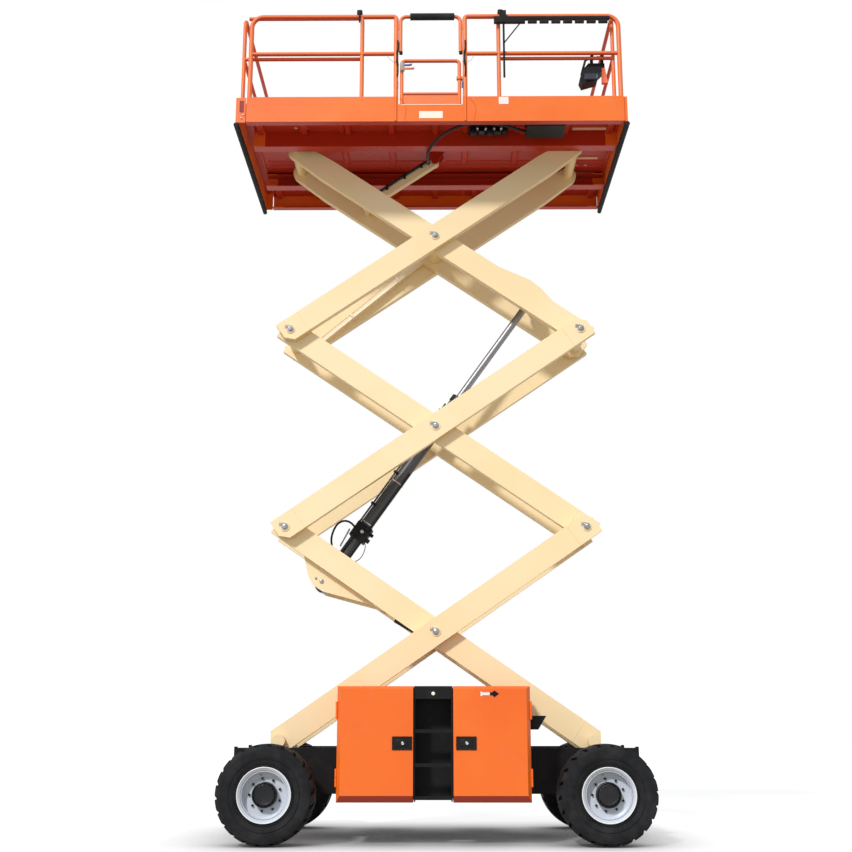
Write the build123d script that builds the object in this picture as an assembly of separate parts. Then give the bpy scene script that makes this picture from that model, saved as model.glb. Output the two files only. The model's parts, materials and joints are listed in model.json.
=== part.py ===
from build123d import *
import os
from math import atan2, cos, degrees, hypot, radians, sin

# Self-propelled scissor lift with three scissor levels, raised about half way.
# Millimetres. +X is the driving direction, +Y the left-hand side of the driver, +Z up.
# The origin lies on the ground under the centre of the wheelbase.

# ---------------------------------------------------------------- driving dimensions
# wheels
tyre_diameter = 660
tyre_width = 305
tyre_shoulder_drop = 26
tyre_side_curve = 20
tyre_side_bulge = 2
tyre_seat_inset = 34
tyre_tread_inset = 22
tyre_crown = 4
overall_width = 1750
wheelbase = 2290
lug_count = 22
lug_depth = 18
lug_groove_width = 26
lug_slant = 14
lug_groove_share = 0.40
lug_groove_overrun = 8
lug_stagger = 0.25
lug_cutter_depth = 60
bead_radius = 172
rim_lip_radius = 181
rim_lip_inset = 13
rim_barrel_wall = 12
rim_lip_width = 10
rim_lip_curve = 4
disc_thickness = 12
disc_inset = 74
disc_edge_run = 20
disc_edge_fall = 22
disc_root_flare = 14
hub_stand_out = 44
hub_taper = 12
hub_draft = 4
hub_cap_fall = 22
hub_inner_flange = 8
hub_radius = 82
hub_length = 145
spindle_radius = 40
running_clearance = 0.05
seat_clearance = 0.3

# axles and steering
axle_height = 110
axle_depth = 110
saddle_inner = 200
saddle_outer = 300
motor_housing_radius = 80
motor_gap = 14
axle_end_gap = 60
axle_overlap = 10
kingpin_inset = 50
kingpin_radius = 25
knuckle_boss_radius = 45
knuckle_height = 174
yoke_plate = 30
yoke_radius = 42
yoke_back_plate = 30
yoke_back_gap = 15
knuckle_neck_half = 40
steering_arm_length = 150
steering_arm_half = 18
steering_arm_boss = 26
steering_arm_below = 12
steering_arm_above = 8
tie_pin_height = 46
tie_rod_boss = 25
tie_rod_radius = 14
tie_pin_radius = 10

# chassis
frame_top = 620
frame_bottom = 313
frame_to_tyre = 200
side_member_width = 52
frame_beyond_arm = 70
frame_plate = 12
cross_plate = 16
cross_plate_place = 420
cross_plate_top = 500
end_plate = 20
notch_front = 140
notch_back = 190
notch_roof = 400
end_plate_top = 550
tie_down_z = 262
tie_down_radius = 36
tie_down_hole = 20
tie_down_plate = 20
tie_down_inset = 10
strip_stop_length = 18
strip_stop = 8

# scissor stack
level_count = 3
arm_beyond_wheelbase = 430
arm_height = 178
arm_thickness = 64
arm_to_side_member = 78
arm_gap = 8
arm_overhang = 75
arm_end_cut = 60
arm_foot_cut = (62, 92)
arm_rest_angle = 34.5
lowest_pin_height = 672
shaft_radius = 30
pivot_tube_radius = 50
free_tube_radius = 40
roller_radius = 46
roller_width = 44
roller_axle_radius = 25
pin_head_radius = 34
pin_head_height = 6
track_clearance = 0.3

# centring links, a quarter of an arm long
link_height = 60
link_thickness = 60
link_pin_radius = 20
link_lug_thickness = 16
link_lug_gap = 5
link_stand_foot_half = 90
link_stand_head_half = 32
link_hanger_foot_half = 80
link_hanger_head_half = 30
link_hanger_plate = 6

# lift cylinder
cylinder_base_inset = 443
cylinder_base_below = 183
cylinder_eye_inset = 489
cylinder_eye_above = 75
barrel_radius = 50
barrel_bore = 42
barrel_length = 1800
gland_length = 40
cylinder_pin_radius = 35
cylinder_eye_radius = 56
cylinder_eye_width = 90
rod_radius = 27.5
rod_length = 1835
piston_length = 25
bracket_thickness = 18

# platform
platform_beyond_frame = 10
platform_inset = 50
deck_rise = 76
deck_thickness = 6
fascia_thickness = 8
fascia_below_pin = 55
fascia_above_pin = 152
track_width = 90
track_flange = 8
member_depth = 30
member_count = 9
member_width = 40
member_end_inset = 60
fascia_lip = 60
track_web = 10
rail_radius = 18
mid_rail_radius = 16
top_rail_rise = 846
mid_rail_rise = 526
rail_inset = 20
rail_end_inset = 18
post_radius = 14
post_places = (-565, 493)
outer_bend = 90
bay_bend = 24

# roll-out decks
extension_inner_end = 490
end_board_thickness = 24
extension_plate = 8
extension_toe_height = 62
nested_rail_inset = 42
nested_rail_radius = 15
nested_top_above = 12
nested_mid_below = 20
nested_end_insets = {-1: 40, 1: 88}
rear_stand_out = 55
bumper_radius = 18
end_board_inset = 10

# entry bay on the near side
bay_low = -300
bay_high = 231
bay_strip_radius = 10
gate_tube_radius = 14
gate_gap = 12
gate_below_rail = 62
gate_toe_height = 90
gate_ring_below = 150
gate_ring_half = 12
gate_ring_wall = 8
gate_bend = 30
hoop_clamp_half = 20
hoop_clamp_rise = 30
hoop_radius = 14
hoop_bend = 44
hoop_leg_bottom = 16
grip_radius = 27
grip_insets = (74, 46)

# cable track and junction box of the front roll-out deck
cable_track_length = 894
cable_track_end_gap = 71
cable_track_width = 30
cable_track_drop = 44
cable_link_length = 70
cable_link_pitch = 91
cable_link_height = 36
cable_pole_radius = 8
cable_pole_length = 500
cable_pole_inset = 74
cable_head_length = 241
cable_strut_rise = 190
cable_strut_run = 140
cable_clamp_half = 20
junction_box_length = 310
junction_box_end_gap = 430
junction_box_depth = 98
junction_box_edge_inset = 75
junction_box_track_gap = 120
junction_box_flange = 8
junction_box_corner = 10

# control station on the front roll-out deck's nested rail
control_box_end_gap = 320
control_box_below_rail = 30
control_box_width = 105
control_box_length = 195
control_box_height = 130
control_box_nose = 45
control_box_lean = 20
control_loop_radius = 9
control_loop_bend = 30
control_loop_rise = 90
control_hook_places = (95, 175)
control_hook_half = 12
control_hook_plate = 6

# cabinets
cabinet_inner_edges = (-156, 115)
rear_tyre_gap = 144
front_tyre_gap = 178
cabinet_bottom = 280
cabinet_top = 1040
cabinet_inset = 45
cabinet_wall = 8
door_thickness = 40
door_gap = 2
door_bevel_side = 26
door_bevel_bottom = 45
door_bevel_top = 18
hinge_radius = 7
hinge_pin_radius = 4
hinge_offset = 4
hinge_setback = 8
hinge_barrel_length = 58
hinge_inset = 160
hinge_leaf_depth = 40
hinge_door_leaf = (3, 13)
door_bevel_depth = 38
latch_size = (86, 76, 22)
latch_middle = 662
latch_inset = 18

# ladder between the cabinets
ladder_gap = 6
ladder_inset = 18
ladder_depth = 212
ladder_plate = 8
rung_heights = (310, 522, 743, 967)
rung_height = 24
rung_depth = 34

# equipment inside the cabinets
equipment_end_gap = 45
equipment_back_gap = 60
equipment_front_gap = 28
engine_height = 532
near_tank_height = 412
far_tank_height = 492
battery_height = 272
tank_corner = 30

# ---------------------------------------------------------------- derived sizes
tyre_radius = tyre_diameter / 2
axle_x = wheelbase / 2
axle_z = tyre_radius
tyre_outer_face = overall_width / 2
tyre_inner_face = tyre_outer_face - tyre_width
tyre_middle = (tyre_outer_face + tyre_inner_face) / 2
kingpin_offset = tyre_inner_face - kingpin_inset
rim_outer_face = tyre_outer_face - rim_lip_inset
rim_inner_face = tyre_inner_face + rim_lip_inset
disc_face = rim_outer_face - disc_inset
hub_end = disc_face + hub_stand_out
hub_start = hub_end - hub_length
spindle_end = disc_face - disc_thickness - 4

frame_half_width = tyre_inner_face - frame_to_tyre
frame_well_half_width = frame_half_width - side_member_width
arm_length = wheelbase + arm_beyond_wheelbase
frame_half_length = arm_length / 2 + frame_beyond_arm
tie_down_y = frame_half_width - tie_down_radius - 4

inner_arm_outer_face = frame_well_half_width - arm_to_side_member
outer_arm_inner_face = inner_arm_outer_face + arm_gap
outer_arm_outer_face = outer_arm_inner_face + arm_thickness
inner_arm_inner_face = inner_arm_outer_face - arm_thickness
level_rise = arm_length * sin(radians(arm_rest_angle))
half_spread = arm_length / 2 * cos(radians(arm_rest_angle))
top_pin_height = lowest_pin_height + level_count * level_rise
strip_top = lowest_pin_height - roller_radius - track_clearance
roller_start = frame_well_half_width + 2
link_length = arm_length / 4
cylinder_base_along = arm_length / 2 - cylinder_base_inset
cylinder_eye_along = arm_length / 2 - cylinder_eye_inset

cabinet_rear = (-(axle_x - tyre_radius - rear_tyre_gap), cabinet_inner_edges[0])
cabinet_front = (cabinet_inner_edges[1], axle_x - tyre_radius - front_tyre_gap)
cabinet_face = tyre_outer_face - cabinet_inset
ladder_face = cabinet_face - ladder_inset
ladder_back = ladder_face - ladder_depth
door_back = cabinet_face - door_thickness
housing_face = door_back - door_gap

platform_half_length = frame_half_length + platform_beyond_frame
platform_half_width = tyre_outer_face - platform_inset
track_inner = roller_start
track_outer = track_inner + track_width
deck_bottom = top_pin_height + deck_rise
deck_top = deck_bottom + deck_thickness
fascia_bottom = top_pin_height - fascia_below_pin
fascia_top = top_pin_height + fascia_above_pin
top_rail = top_pin_height + top_rail_rise
mid_rail = top_pin_height + mid_rail_rise
side_rail_y = platform_half_width - rail_inset
rail_end = platform_half_length - rail_end_inset
cable_track_high = rail_end - cable_track_end_gap
cable_track_low = cable_track_high - cable_track_length
junction_box_high = platform_half_length - junction_box_end_gap
gate_axis = bay_high - rail_radius - gate_gap - gate_tube_radius
gate_bottom = deck_top + gate_gap
gate_top = mid_rail - gate_below_rail
gate_ring = gate_top - gate_ring_below
nested_rail_y = side_rail_y - nested_rail_inset
nested_top = top_rail + nested_top_above
nested_mid = mid_rail - nested_mid_below
extension_ends = {-1: platform_half_length + 2 + end_board_thickness + rear_stand_out,
                  1: platform_half_length + 2 + end_board_thickness}

ALONG_Y = Rot(90, 0, 0)
ALONG_X = Rot(0, 90, 0)
SIDES = (-1, 1)


# ---------------------------------------------------------------- small shapes
def block(x_range, y_range, z_range):
    """A box between low and high values on each axis, given in any order."""
    spans = [sorted(r) for r in (x_range, y_range, z_range)]
    centre = [(low + high) / 2 for low, high in spans]
    size = [high - low for low, high in spans]
    return Pos(*centre) * Box(*size)


def bar_y(x, z, y_range, radius):
    low, high = sorted(y_range)
    return Pos(x, (low + high) / 2, z) * ALONG_Y * Cylinder(radius, high - low)


def bar_x(y, z, x_range, radius):
    low, high = sorted(x_range)
    return Pos((low + high) / 2, y, z) * ALONG_X * Cylinder(radius, high - low)


def bar_z(x, y, z_range, radius):
    low, high = sorted(z_range)
    return Pos(x, y, (low + high) / 2) * Cylinder(radius, high - low)


def plate_xz(points, y_range):
    """A plate whose outline lies in X and Z, between two values of Y."""
    low, high = sorted(y_range)
    outline = make_face(Polyline(*[(x, low, z) for x, z in points], close=True))
    return extrude(outline, amount=high - low, dir=(0, 1, 0))


def plate_yz(points, x_range):
    low, high = sorted(x_range)
    outline = make_face(Polyline(*[(low, y, z) for y, z in points], close=True))
    return extrude(outline, amount=high - low, dir=(1, 0, 0))


def plate_xy(points, z_range):
    low, high = sorted(z_range)
    outline = make_face(Polyline(*[(x, y, low) for x, y in points], close=True))
    return extrude(outline, amount=high - low, dir=(0, 0, 1))


def both_sides(shape_for_side):
    """Join the same piece made for the near side (-1) and the far side (+1)."""
    return shape_for_side(-1) + shape_for_side(1)


def tube_path(points, radius, bend=60):
    """A round tube along straight runs joined by tangent bends."""
    if len(points) == 2:
        path = Line(*points)
    else:
        path = FilletPolyline(*points, radius=bend)
    start = path % 0
    section = Plane(origin=path @ 0, z_dir=start) * Circle(radius)
    return sweep(section, path=path)


def save(name, shape):
    shape.label = name
    export_step(shape, f"parts/{name}.step")


# ---------------------------------------------------------------- wheels
def tyre(side, x):
    """Foam-filled tyre: a revolved carcass with slanted shoulder grooves between its lugs."""
    inner, outer = tyre_inner_face, tyre_outer_face
    hole = bead_radius + seat_clearance
    shoulder = tyre_radius - tyre_shoulder_drop
    bulge = (hole + shoulder) / 2 + tyre_side_curve
    inner_side, outer_side = inner + tyre_side_bulge, outer - tyre_side_bulge
    inner_seat, outer_seat = inner + tyre_seat_inset, outer - tyre_seat_inset
    inner_tread, outer_tread = inner + tyre_tread_inset, outer - tyre_tread_inset
    tread_edge = tyre_radius - tyre_crown
    with BuildPart() as build:
        with BuildSketch(Plane.XY):
            with BuildLine():
                Line((inner_seat, hole), (outer_seat, hole))
                ThreePointArc((outer_seat, hole), (outer, bulge), (outer_side, shoulder))
                Line((outer_side, shoulder), (outer_tread, tread_edge))
                ThreePointArc((outer_tread, tread_edge), (tyre_middle, tyre_radius), (inner_tread, tread_edge))
                Line((inner_tread, tread_edge), (inner_side, shoulder))
                ThreePointArc((inner_side, shoulder), (inner, bulge), (inner_seat, hole))
            make_face()
        revolve(axis=Axis.X)
    carcass = build.part
    floor_radius = tyre_radius - lug_depth
    groove_length = tyre_width * lug_groove_share
    pitch = 360 / lug_count
    cutters = []
    for row, lean in ((-1, -lug_slant), (1, lug_slant)):
        middle = tyre_middle + row * (tyre_width / 2 - groove_length / 2 + lug_groove_overrun)
        cutter = Pos(middle, 0, floor_radius + lug_cutter_depth / 2) * Rot(0, 0, lean)
        cutter *= Box(groove_length + 2 * lug_groove_overrun, lug_groove_width, lug_cutter_depth)
        for i in range(lug_count):
            turn = (i + 0.5 + lug_stagger * row) * pitch
            cutters.append(Rot(turn, 0, 0) * cutter)
    lugged = carcass - cutters
    turned = Rot(0, 0, 90 * side) * lugged
    return Pos(x, 0, axle_z) * turned


def wheel(side, x):
    """Drop-centre rim, disc and drive hub in one revolved piece with a blind spindle bore."""
    low, high = rim_inner_face, rim_outer_face
    barrel_inner = bead_radius - rim_barrel_wall
    disc_back = disc_face - disc_thickness
    points = [
        (hub_start, spindle_radius + running_clearance),
        (hub_start, hub_radius + hub_inner_flange),
        (disc_back, hub_radius + disc_root_flare),
        (disc_back, barrel_inner - disc_edge_run),
        (disc_back - disc_edge_fall, barrel_inner),
        (low + rim_lip_width, barrel_inner),
        (low, rim_lip_radius - rim_lip_curve - 2),
        (low, rim_lip_radius),
        (low + rim_lip_width, rim_lip_radius),
        (low + rim_lip_width + rim_lip_curve, bead_radius),
        (high - rim_lip_width - rim_lip_curve, bead_radius),
        (high - rim_lip_width, rim_lip_radius),
        (high, rim_lip_radius),
        (high, rim_lip_radius - 2 * rim_lip_curve),
        (high - rim_lip_width, barrel_inner),
        (disc_face + 8, barrel_inner - 6),
        (disc_face, barrel_inner - disc_edge_run),
        (disc_face, hub_radius),
        (hub_end - hub_taper, hub_radius - hub_draft),
        (hub_end, hub_radius - hub_cap_fall),
        (hub_end, 0),
        (spindle_end + 2, 0),
        (spindle_end + 2, spindle_radius + running_clearance),
    ]
    face = make_face(Polyline(*points, close=True))
    turned = Rot(0, 0, 90 * side) * revolve(face, axis=Axis.X)
    return Pos(x, 0, axle_z) * turned


# ---------------------------------------------------------------- axles and steering
def spindle(side, x, start):
    housing = bar_y(x, axle_z, (side * start, side * (hub_start - 6)), motor_housing_radius)
    shaft = bar_y(x, axle_z, (side * start, side * spindle_end), spindle_radius)
    return housing + shaft


def axle_beam(x, half_length):
    half = axle_depth / 2
    beam = block((x - half, x + half), (-half_length, half_length),
                 (axle_z - axle_height / 2, axle_z + axle_height / 2))
    saddle_z = (axle_z + axle_height / 2, notch_roof)
    for side in SIDES:
        beam += block((x - half, x + half), (side * saddle_inner, side * saddle_outer), saddle_z)
    return beam


def rear_axle():
    beam = axle_beam(-axle_x, tyre_inner_face - axle_end_gap)
    start = tyre_inner_face - axle_end_gap - axle_overlap
    ends = both_sides(lambda side: spindle(side, -axle_x, start))
    return beam + ends


def yoke(side):
    """Forked axle end that holds the kingpin between two round-ended plates."""
    x = axle_x
    back = kingpin_offset - knuckle_boss_radius - yoke_back_gap
    half = knuckle_height / 2 + 2 * seat_clearance
    shape = block((x - yoke_radius, x + yoke_radius), (side * (back - yoke_back_plate), side * back),
                  (axle_z - half - yoke_plate, axle_z + half + yoke_plate))
    for level in (-1, 1):
        z_range = (axle_z + level * half, axle_z + level * (half + yoke_plate))
        shape += block((x - yoke_radius, x + yoke_radius), (side * (back - 1), side * kingpin_offset),
                       z_range)
        shape += bar_z(x, side * kingpin_offset, z_range, yoke_radius)
    reach = half + yoke_plate + 6
    return shape + bar_z(x, side * kingpin_offset, (axle_z - reach, axle_z + reach), kingpin_radius)


def front_axle():
    beam = axle_beam(axle_x, kingpin_offset - knuckle_boss_radius - yoke_back_gap - axle_overlap / 2)
    return beam + both_sides(yoke)


def knuckle(side):
    """Kingpin boss, steering arm with its tie-rod pin, and the motor housing with the spindle."""
    x, y = axle_x, side * kingpin_offset
    half = knuckle_height / 2
    boss = bar_z(x, y, (axle_z - half, axle_z + half), knuckle_boss_radius)
    start = kingpin_offset + yoke_radius + motor_gap
    neck = block((x - knuckle_neck_half, x + knuckle_neck_half), (y, side * (start + 1)),
                 (axle_z - half, axle_z + half))
    end_x = x - steering_arm_length
    arm_z = (axle_z - steering_arm_below, axle_z + steering_arm_above)
    arm = block((end_x, x), (y - steering_arm_half, y + steering_arm_half), arm_z)
    arm += bar_z(end_x, y, arm_z, steering_arm_boss)
    arm += bar_z(end_x, y, (axle_z, axle_z + tie_pin_height), tie_pin_radius)
    body = boss + neck + arm + spindle(side, x, start)
    bore = bar_z(x, y, (axle_z - half - 1, axle_z + half + 1), kingpin_radius + running_clearance)
    return body - bore


def tie_rod():
    x = axle_x - steering_arm_length
    z_range = (axle_z + steering_arm_above + seat_clearance, axle_z + tie_pin_height - 4)
    middle = sum(z_range) / 2
    rod = Pos(x, 0, middle) * ALONG_Y * Cylinder(tie_rod_radius, 2 * kingpin_offset)
    for side in SIDES:
        rod += bar_z(x, side * kingpin_offset, z_range, tie_rod_boss)
    for side in SIDES:
        z_bore = (z_range[0] - 1, z_range[1] + 1)
        rod -= bar_z(x, side * kingpin_offset, z_bore, tie_pin_radius + running_clearance)
    return rod


# ---------------------------------------------------------------- chassis
def chassis_frame():
    """Open-topped trough: box side members, a floor, notches over both axles and end plates."""
    length = frame_half_length
    well = frame_well_half_width
    frame = both_sides(lambda side: block((-length, length), (side * well, side * frame_half_width),
                                          (frame_bottom, frame_top)))
    frame += block((-length, length), (-well - 1, well + 1), (frame_bottom, frame_bottom + frame_plate))
    for end in (-1, 1):
        frame += block((end * (length - end_plate), end * length), (-well - 1, well + 1),
                       (frame_bottom, end_plate_top))
        notch_low = end * axle_x - (notch_back if end > 0 else notch_front)
        notch_high = end * axle_x + (notch_front if end > 0 else notch_back)
        frame -= block((notch_low, notch_high), (-frame_half_width - 1, frame_half_width + 1),
                       (frame_bottom - 1, notch_roof))
        frame += block((notch_low - frame_plate, notch_high + frame_plate), (-well - 1, well + 1),
                       (notch_roof, notch_roof + frame_plate))
        for x in (notch_low - frame_plate, notch_high):
            frame += block((x, x + frame_plate), (-well - 1, well + 1), (frame_bottom, notch_roof + 1))
    for x in (-cross_plate_place, cross_plate_place):
        frame += block((x - cross_plate / 2, x + cross_plate / 2), (-well - 1, well + 1),
                       (frame_bottom + 1, cross_plate_top))
    return frame


def link_stand():
    """Two upright lugs with a pin that carries the lower centring link."""
    inner = link_thickness / 2 + link_lug_gap
    outer = inner + link_lug_thickness
    floor = frame_bottom + frame_plate
    foot, head = link_stand_foot_half, link_stand_head_half
    points = [(-foot, floor), (foot, floor), (head, lowest_pin_height), (-head, lowest_pin_height)]
    stand = both_sides(lambda side: plate_xz(points, (side * inner, side * outer))
                       + bar_y(0, lowest_pin_height, (side * inner, side * outer), head))
    return stand + bar_y(0, lowest_pin_height, (-outer - 4, outer + 4), link_pin_radius)


def tie_down_lugs():
    """Rounded plates with a shackle hole under the frame's four corners."""
    x_outer = frame_half_length - tie_down_inset
    lugs = []
    for end in (-1, 1):
        for side in SIDES:
            x_range = (end * (x_outer - tie_down_plate), end * x_outer)
            y = side * tie_down_y
            lug = block(x_range, (y - tie_down_radius, y + tie_down_radius), (tie_down_z, frame_bottom))
            lug += bar_x(y, tie_down_z, x_range, tie_down_radius)
            lug -= bar_x(y, tie_down_z, (x_range[0] - end, x_range[1] + end), tie_down_hole)
            lugs.append(lug)
    return lugs


def slide_strips():
    strip = None
    for side in SIDES:
        y_range = (side * frame_well_half_width, side * (frame_half_width - 2))
        piece = block((-frame_half_length, frame_half_length), y_range, (frame_top, strip_top))
        for end in (-1, 1):
            piece += block((end * (frame_half_length - strip_stop_length), end * frame_half_length), y_range,
                           (frame_top, strip_top + strip_stop))
        strip = piece if strip is None else strip + piece
    return strip


# ---------------------------------------------------------------- cabinets and ladder
def outboard_edge(span):
    """The end of a cabinet that is away from the ladder, and the sign that points to it."""
    sign = 1 if span[0] > 0 else -1
    return max(span, key=abs), sign


def cabinet(side, span):
    """Open-fronted housing with hinge barrels at its outboard edge."""
    low, high = span
    outer = block(span, (side * frame_half_width, side * housing_face), (cabinet_bottom, cabinet_top))
    inner = block((low + cabinet_wall, high - cabinet_wall),
                  (side * (frame_half_width + cabinet_wall), side * (housing_face + 1)),
                  (cabinet_bottom + cabinet_wall, cabinet_top - cabinet_wall))
    edge, sign = outboard_edge(span)
    housing = outer - inner
    hinge_x, hinge_y = edge + sign * hinge_offset, side * (door_back + hinge_setback)
    for z in hinge_levels():
        fixed = (z - hinge_barrel_length - 2, z - 2)
        leaf = block((edge, hinge_x + sign * 2), (side * (housing_face - hinge_leaf_depth), hinge_y), fixed)
        housing += leaf + bar_z(hinge_x, hinge_y, fixed, hinge_radius)
        pin = (z - hinge_leaf_depth, z + hinge_barrel_length - 2)
        housing += bar_z(hinge_x, hinge_y, pin, hinge_pin_radius)
    return housing


def hinge_levels():
    return (cabinet_bottom + hinge_inset, cabinet_top - hinge_inset)


def door(side, span):
    """Thick outer panel, bevelled on its outboard, lower and upper edges, with a latch recess."""
    low, high = span
    edge, sign = outboard_edge(span)
    panel = block(span, (side * door_back, side * cabinet_face), (cabinet_bottom, cabinet_top))
    face, back = side * cabinet_face, side * (cabinet_face - door_bevel_depth)
    bevel_edge = edge - sign * door_bevel_side
    bevel_points = [(edge + sign, back), (edge + sign, face + side), (bevel_edge, face + side),
                    (bevel_edge, face)]
    panel -= plate_xy(bevel_points, (cabinet_bottom - 1, cabinet_top + 1))
    for z, rise in ((cabinet_bottom, door_bevel_bottom), (cabinet_top, -door_bevel_top)):
        away = -1 if rise > 0 else 1
        points = [(back, z + away), (face + side, z + away), (face + side, z + rise), (face, z + rise)]
        panel -= plate_yz(points, (low - 1, high + 1))
    width, height, depth = latch_size
    inboard = low if sign > 0 else high
    x_near = inboard + sign * latch_inset
    panel -= block((x_near, x_near + sign * width), (face + side, face - side * depth),
                   (latch_middle - height / 2, latch_middle + height / 2))
    hinge_x, hinge_y = edge + sign * hinge_offset, side * (door_back + hinge_setback)
    for z in hinge_levels():
        panel -= bar_z(hinge_x, hinge_y, (z - hinge_barrel_length - 4, z - 1), hinge_radius + 1)
        moving = (z + 2, z + hinge_barrel_length)
        leaf_y = [side * (door_back + depth) for depth in hinge_door_leaf]
        panel += bar_z(hinge_x, hinge_y, moving, hinge_radius)
        panel += block((edge - sign, hinge_x), leaf_y, moving)
        panel -= bar_z(hinge_x, hinge_y, (z - hinge_barrel_length - 4, z + hinge_barrel_length - 1),
                       hinge_pin_radius + running_clearance)
    return panel


def ladder(side):
    """Access ladder: two side plates, four rungs, a back panel and a head plate."""
    low, high = cabinet_rear[1] + ladder_gap, cabinet_front[0] - ladder_gap
    shape = None
    for x, step in ((low, ladder_plate), (high, -ladder_plate)):
        plate = block((x, x + step), (side * frame_half_width, side * ladder_face),
                      (cabinet_bottom + 5, cabinet_top))
        shape = plate if shape is None else shape + plate
    shape += block((low, high), (side * ladder_back, side * (ladder_back + 6)),
                   (cabinet_bottom + 5, cabinet_top))
    shape += block((low, high), (side * ladder_back, side * ladder_face), (cabinet_top - 8, cabinet_top))
    shape += block((low, high), (side * (ladder_face - 8), side * ladder_face),
                   (rung_heights[-1] + rung_height / 2, cabinet_top))
    for z in rung_heights:
        shape += block((low, high), (side * (ladder_face - rung_depth), side * ladder_face),
                       (z - rung_height / 2, z + rung_height / 2))
    return shape


def inside_cabinet(side, span, height):
    """A block of equipment standing on a cabinet's floor, clear of its walls."""
    floor = cabinet_bottom + cabinet_wall
    x_range = (span[0] + equipment_end_gap, span[1] - equipment_end_gap)
    y_range = (side * (frame_half_width + equipment_back_gap), side * (housing_face - equipment_front_gap))
    return block(x_range, y_range, (floor, floor + height))


def engine_block():
    return inside_cabinet(1, cabinet_front, engine_height)


def fluid_tanks():
    tanks = (inside_cabinet(-1, cabinet_rear, near_tank_height),
             inside_cabinet(1, cabinet_rear, far_tank_height))
    return [fillet(tank.edges().filter_by(Axis.Z), tank_corner) for tank in tanks]


def battery_box():
    return inside_cabinet(-1, cabinet_front, battery_height)


# ---------------------------------------------------------------- scissor stack
def level_base(level):
    return lowest_pin_height + (level - 1) * level_rise


def placed(shape, level, lean):
    """Put an arm drawn level about its middle pivot at its rest place and angle."""
    middle = level_base(level) + level_rise / 2
    return Pos(0, 0, middle) * Rot(0, -lean * arm_rest_angle, 0) * shape


def arm_outline(rising, level):
    """Side outline of one arm, drawn along X. Its outer corners are cut away, and a foot's upper one."""
    end = arm_length / 2 + arm_overhang
    half = arm_height / 2
    cut = arm_end_cut
    along, down = arm_foot_cut if level == 1 else (0, 0)
    points = [(-end, half - down), (-end, -half + cut), (-end + cut, -half), (end, -half),
              (end, half - cut), (end - cut, half)]
    if along:
        points.append((along - end, half))
    if not rising:
        points = [(-x, z) for x, z in points]
    return points


def arm_beam(y_range, rising, level):
    beam = plate_xz(arm_outline(rising, level), y_range)
    if level == level_count:
        beam = round_free_end(beam, y_range, 1 if rising else -1)
    return beam


def round_free_end(beam, y_range, end):
    """Round the platform end about its roller axle and slope its upper edge to clear the deck."""
    pin = end * arm_length / 2
    half = arm_height / 2
    radius = deck_rise - 6
    slope_start = 300
    low, high = sorted(y_range)
    tool = block((pin, end * (arm_length / 2 + arm_overhang + 1)), (low - 1, high + 1),
                 (-half - 1, half + 1))
    beam -= tool - bar_y(pin, 0, (low - 1, high + 1), radius)
    wedge = [(pin - end * slope_start, half), (pin + end, radius), (pin + end, half + 1),
             (pin - end * slope_start, half + 1)]
    beam -= plate_xz(wedge, (low - 1, high + 1))
    wedge = [(x, -z) for x, z in wedge]
    return beam - plate_xz(wedge, (low - 1, high + 1))


def pivot_tube(along):
    return bar_y(along, 0, (-inner_arm_inner_face - 1, inner_arm_inner_face + 1), pivot_tube_radius)


def bore(along, half_width):
    return bar_y(along, 0, (-half_width, half_width), shaft_radius + running_clearance)


def roller_axle(along, tube_half, roller_from):
    """Cross tube of a free arm end with an axle and a roller on each side."""
    reach = roller_from + roller_width
    shape = bar_y(along, 0, (-tube_half - 1, tube_half + 1), free_tube_radius)
    for side in SIDES:
        shape += bar_y(along, 0, (side * tube_half, side * reach), roller_axle_radius)
        shape += bar_y(along, 0, (side * roller_from, side * reach), roller_radius)
    return shape


def inner_arms(level):
    """Pair of arms falling to the front, joined by bored pivot tubes and free-end cross tubes."""
    half = arm_length / 2
    arms = both_sides(lambda side: arm_beam((side * inner_arm_inner_face, side * inner_arm_outer_face),
                                            False, level))
    if level == 1:
        arms += roller_axle(half, inner_arm_inner_face, roller_start)
        arms += bar_y(arm_length / 4, 0, (-inner_arm_inner_face - 1, inner_arm_inner_face + 1),
                      link_pin_radius)
        arms += cylinder_base_bracket()
    if level == level_count:
        arms += roller_axle(-half, inner_arm_inner_face, track_inner + 4)
        arms += bar_y(-arm_length / 4, 0, (-inner_arm_inner_face - 1, inner_arm_inner_face + 1),
                      link_pin_radius)
        arms += cylinder_eye_hump()
    if level != 2:
        arms += pivot_tube(0)
    if level > 1:
        arms += pivot_tube(half)
    if 1 < level < level_count:
        arms += pivot_tube(-half)
    wide = inner_arm_outer_face + 1
    arms -= bore(0, wide)
    if level > 1:
        arms -= bore(half, wide)
    if level < level_count:
        arms -= bore(-half, wide)
    return placed(arms, level, -1)


def cylinder_base_bracket():
    """Plates hanging under the arms with the cross pin of the lift cylinder's base."""
    x, z = -cylinder_base_along, -cylinder_base_below
    edge = -arm_height / 2 + 30
    points = [(x - 252, edge), (x - 112, z - 6), (x - 42, z - 44), (x + 45, z - 44), (x + 520, edge)]
    inner = inner_arm_inner_face
    start = inner - bracket_thickness
    plates = both_sides(lambda side: plate_xz(points, (side * start, side * (inner + 1))))
    return plates + bar_y(x, z, (-inner, inner), cylinder_pin_radius)


def cylinder_eye_hump():
    """Raised gusset on top of both arms beside the rod's eye."""
    x, half = cylinder_eye_along, arm_height / 2
    points = [(x - 330, half - 1), (x - 60, half + 48), (x + 50, half + 36), (x + 190, half - 1)]
    inner, outer = inner_arm_inner_face, inner_arm_outer_face
    return both_sides(lambda side: plate_xz(points, (side * inner, side * outer)))


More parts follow.
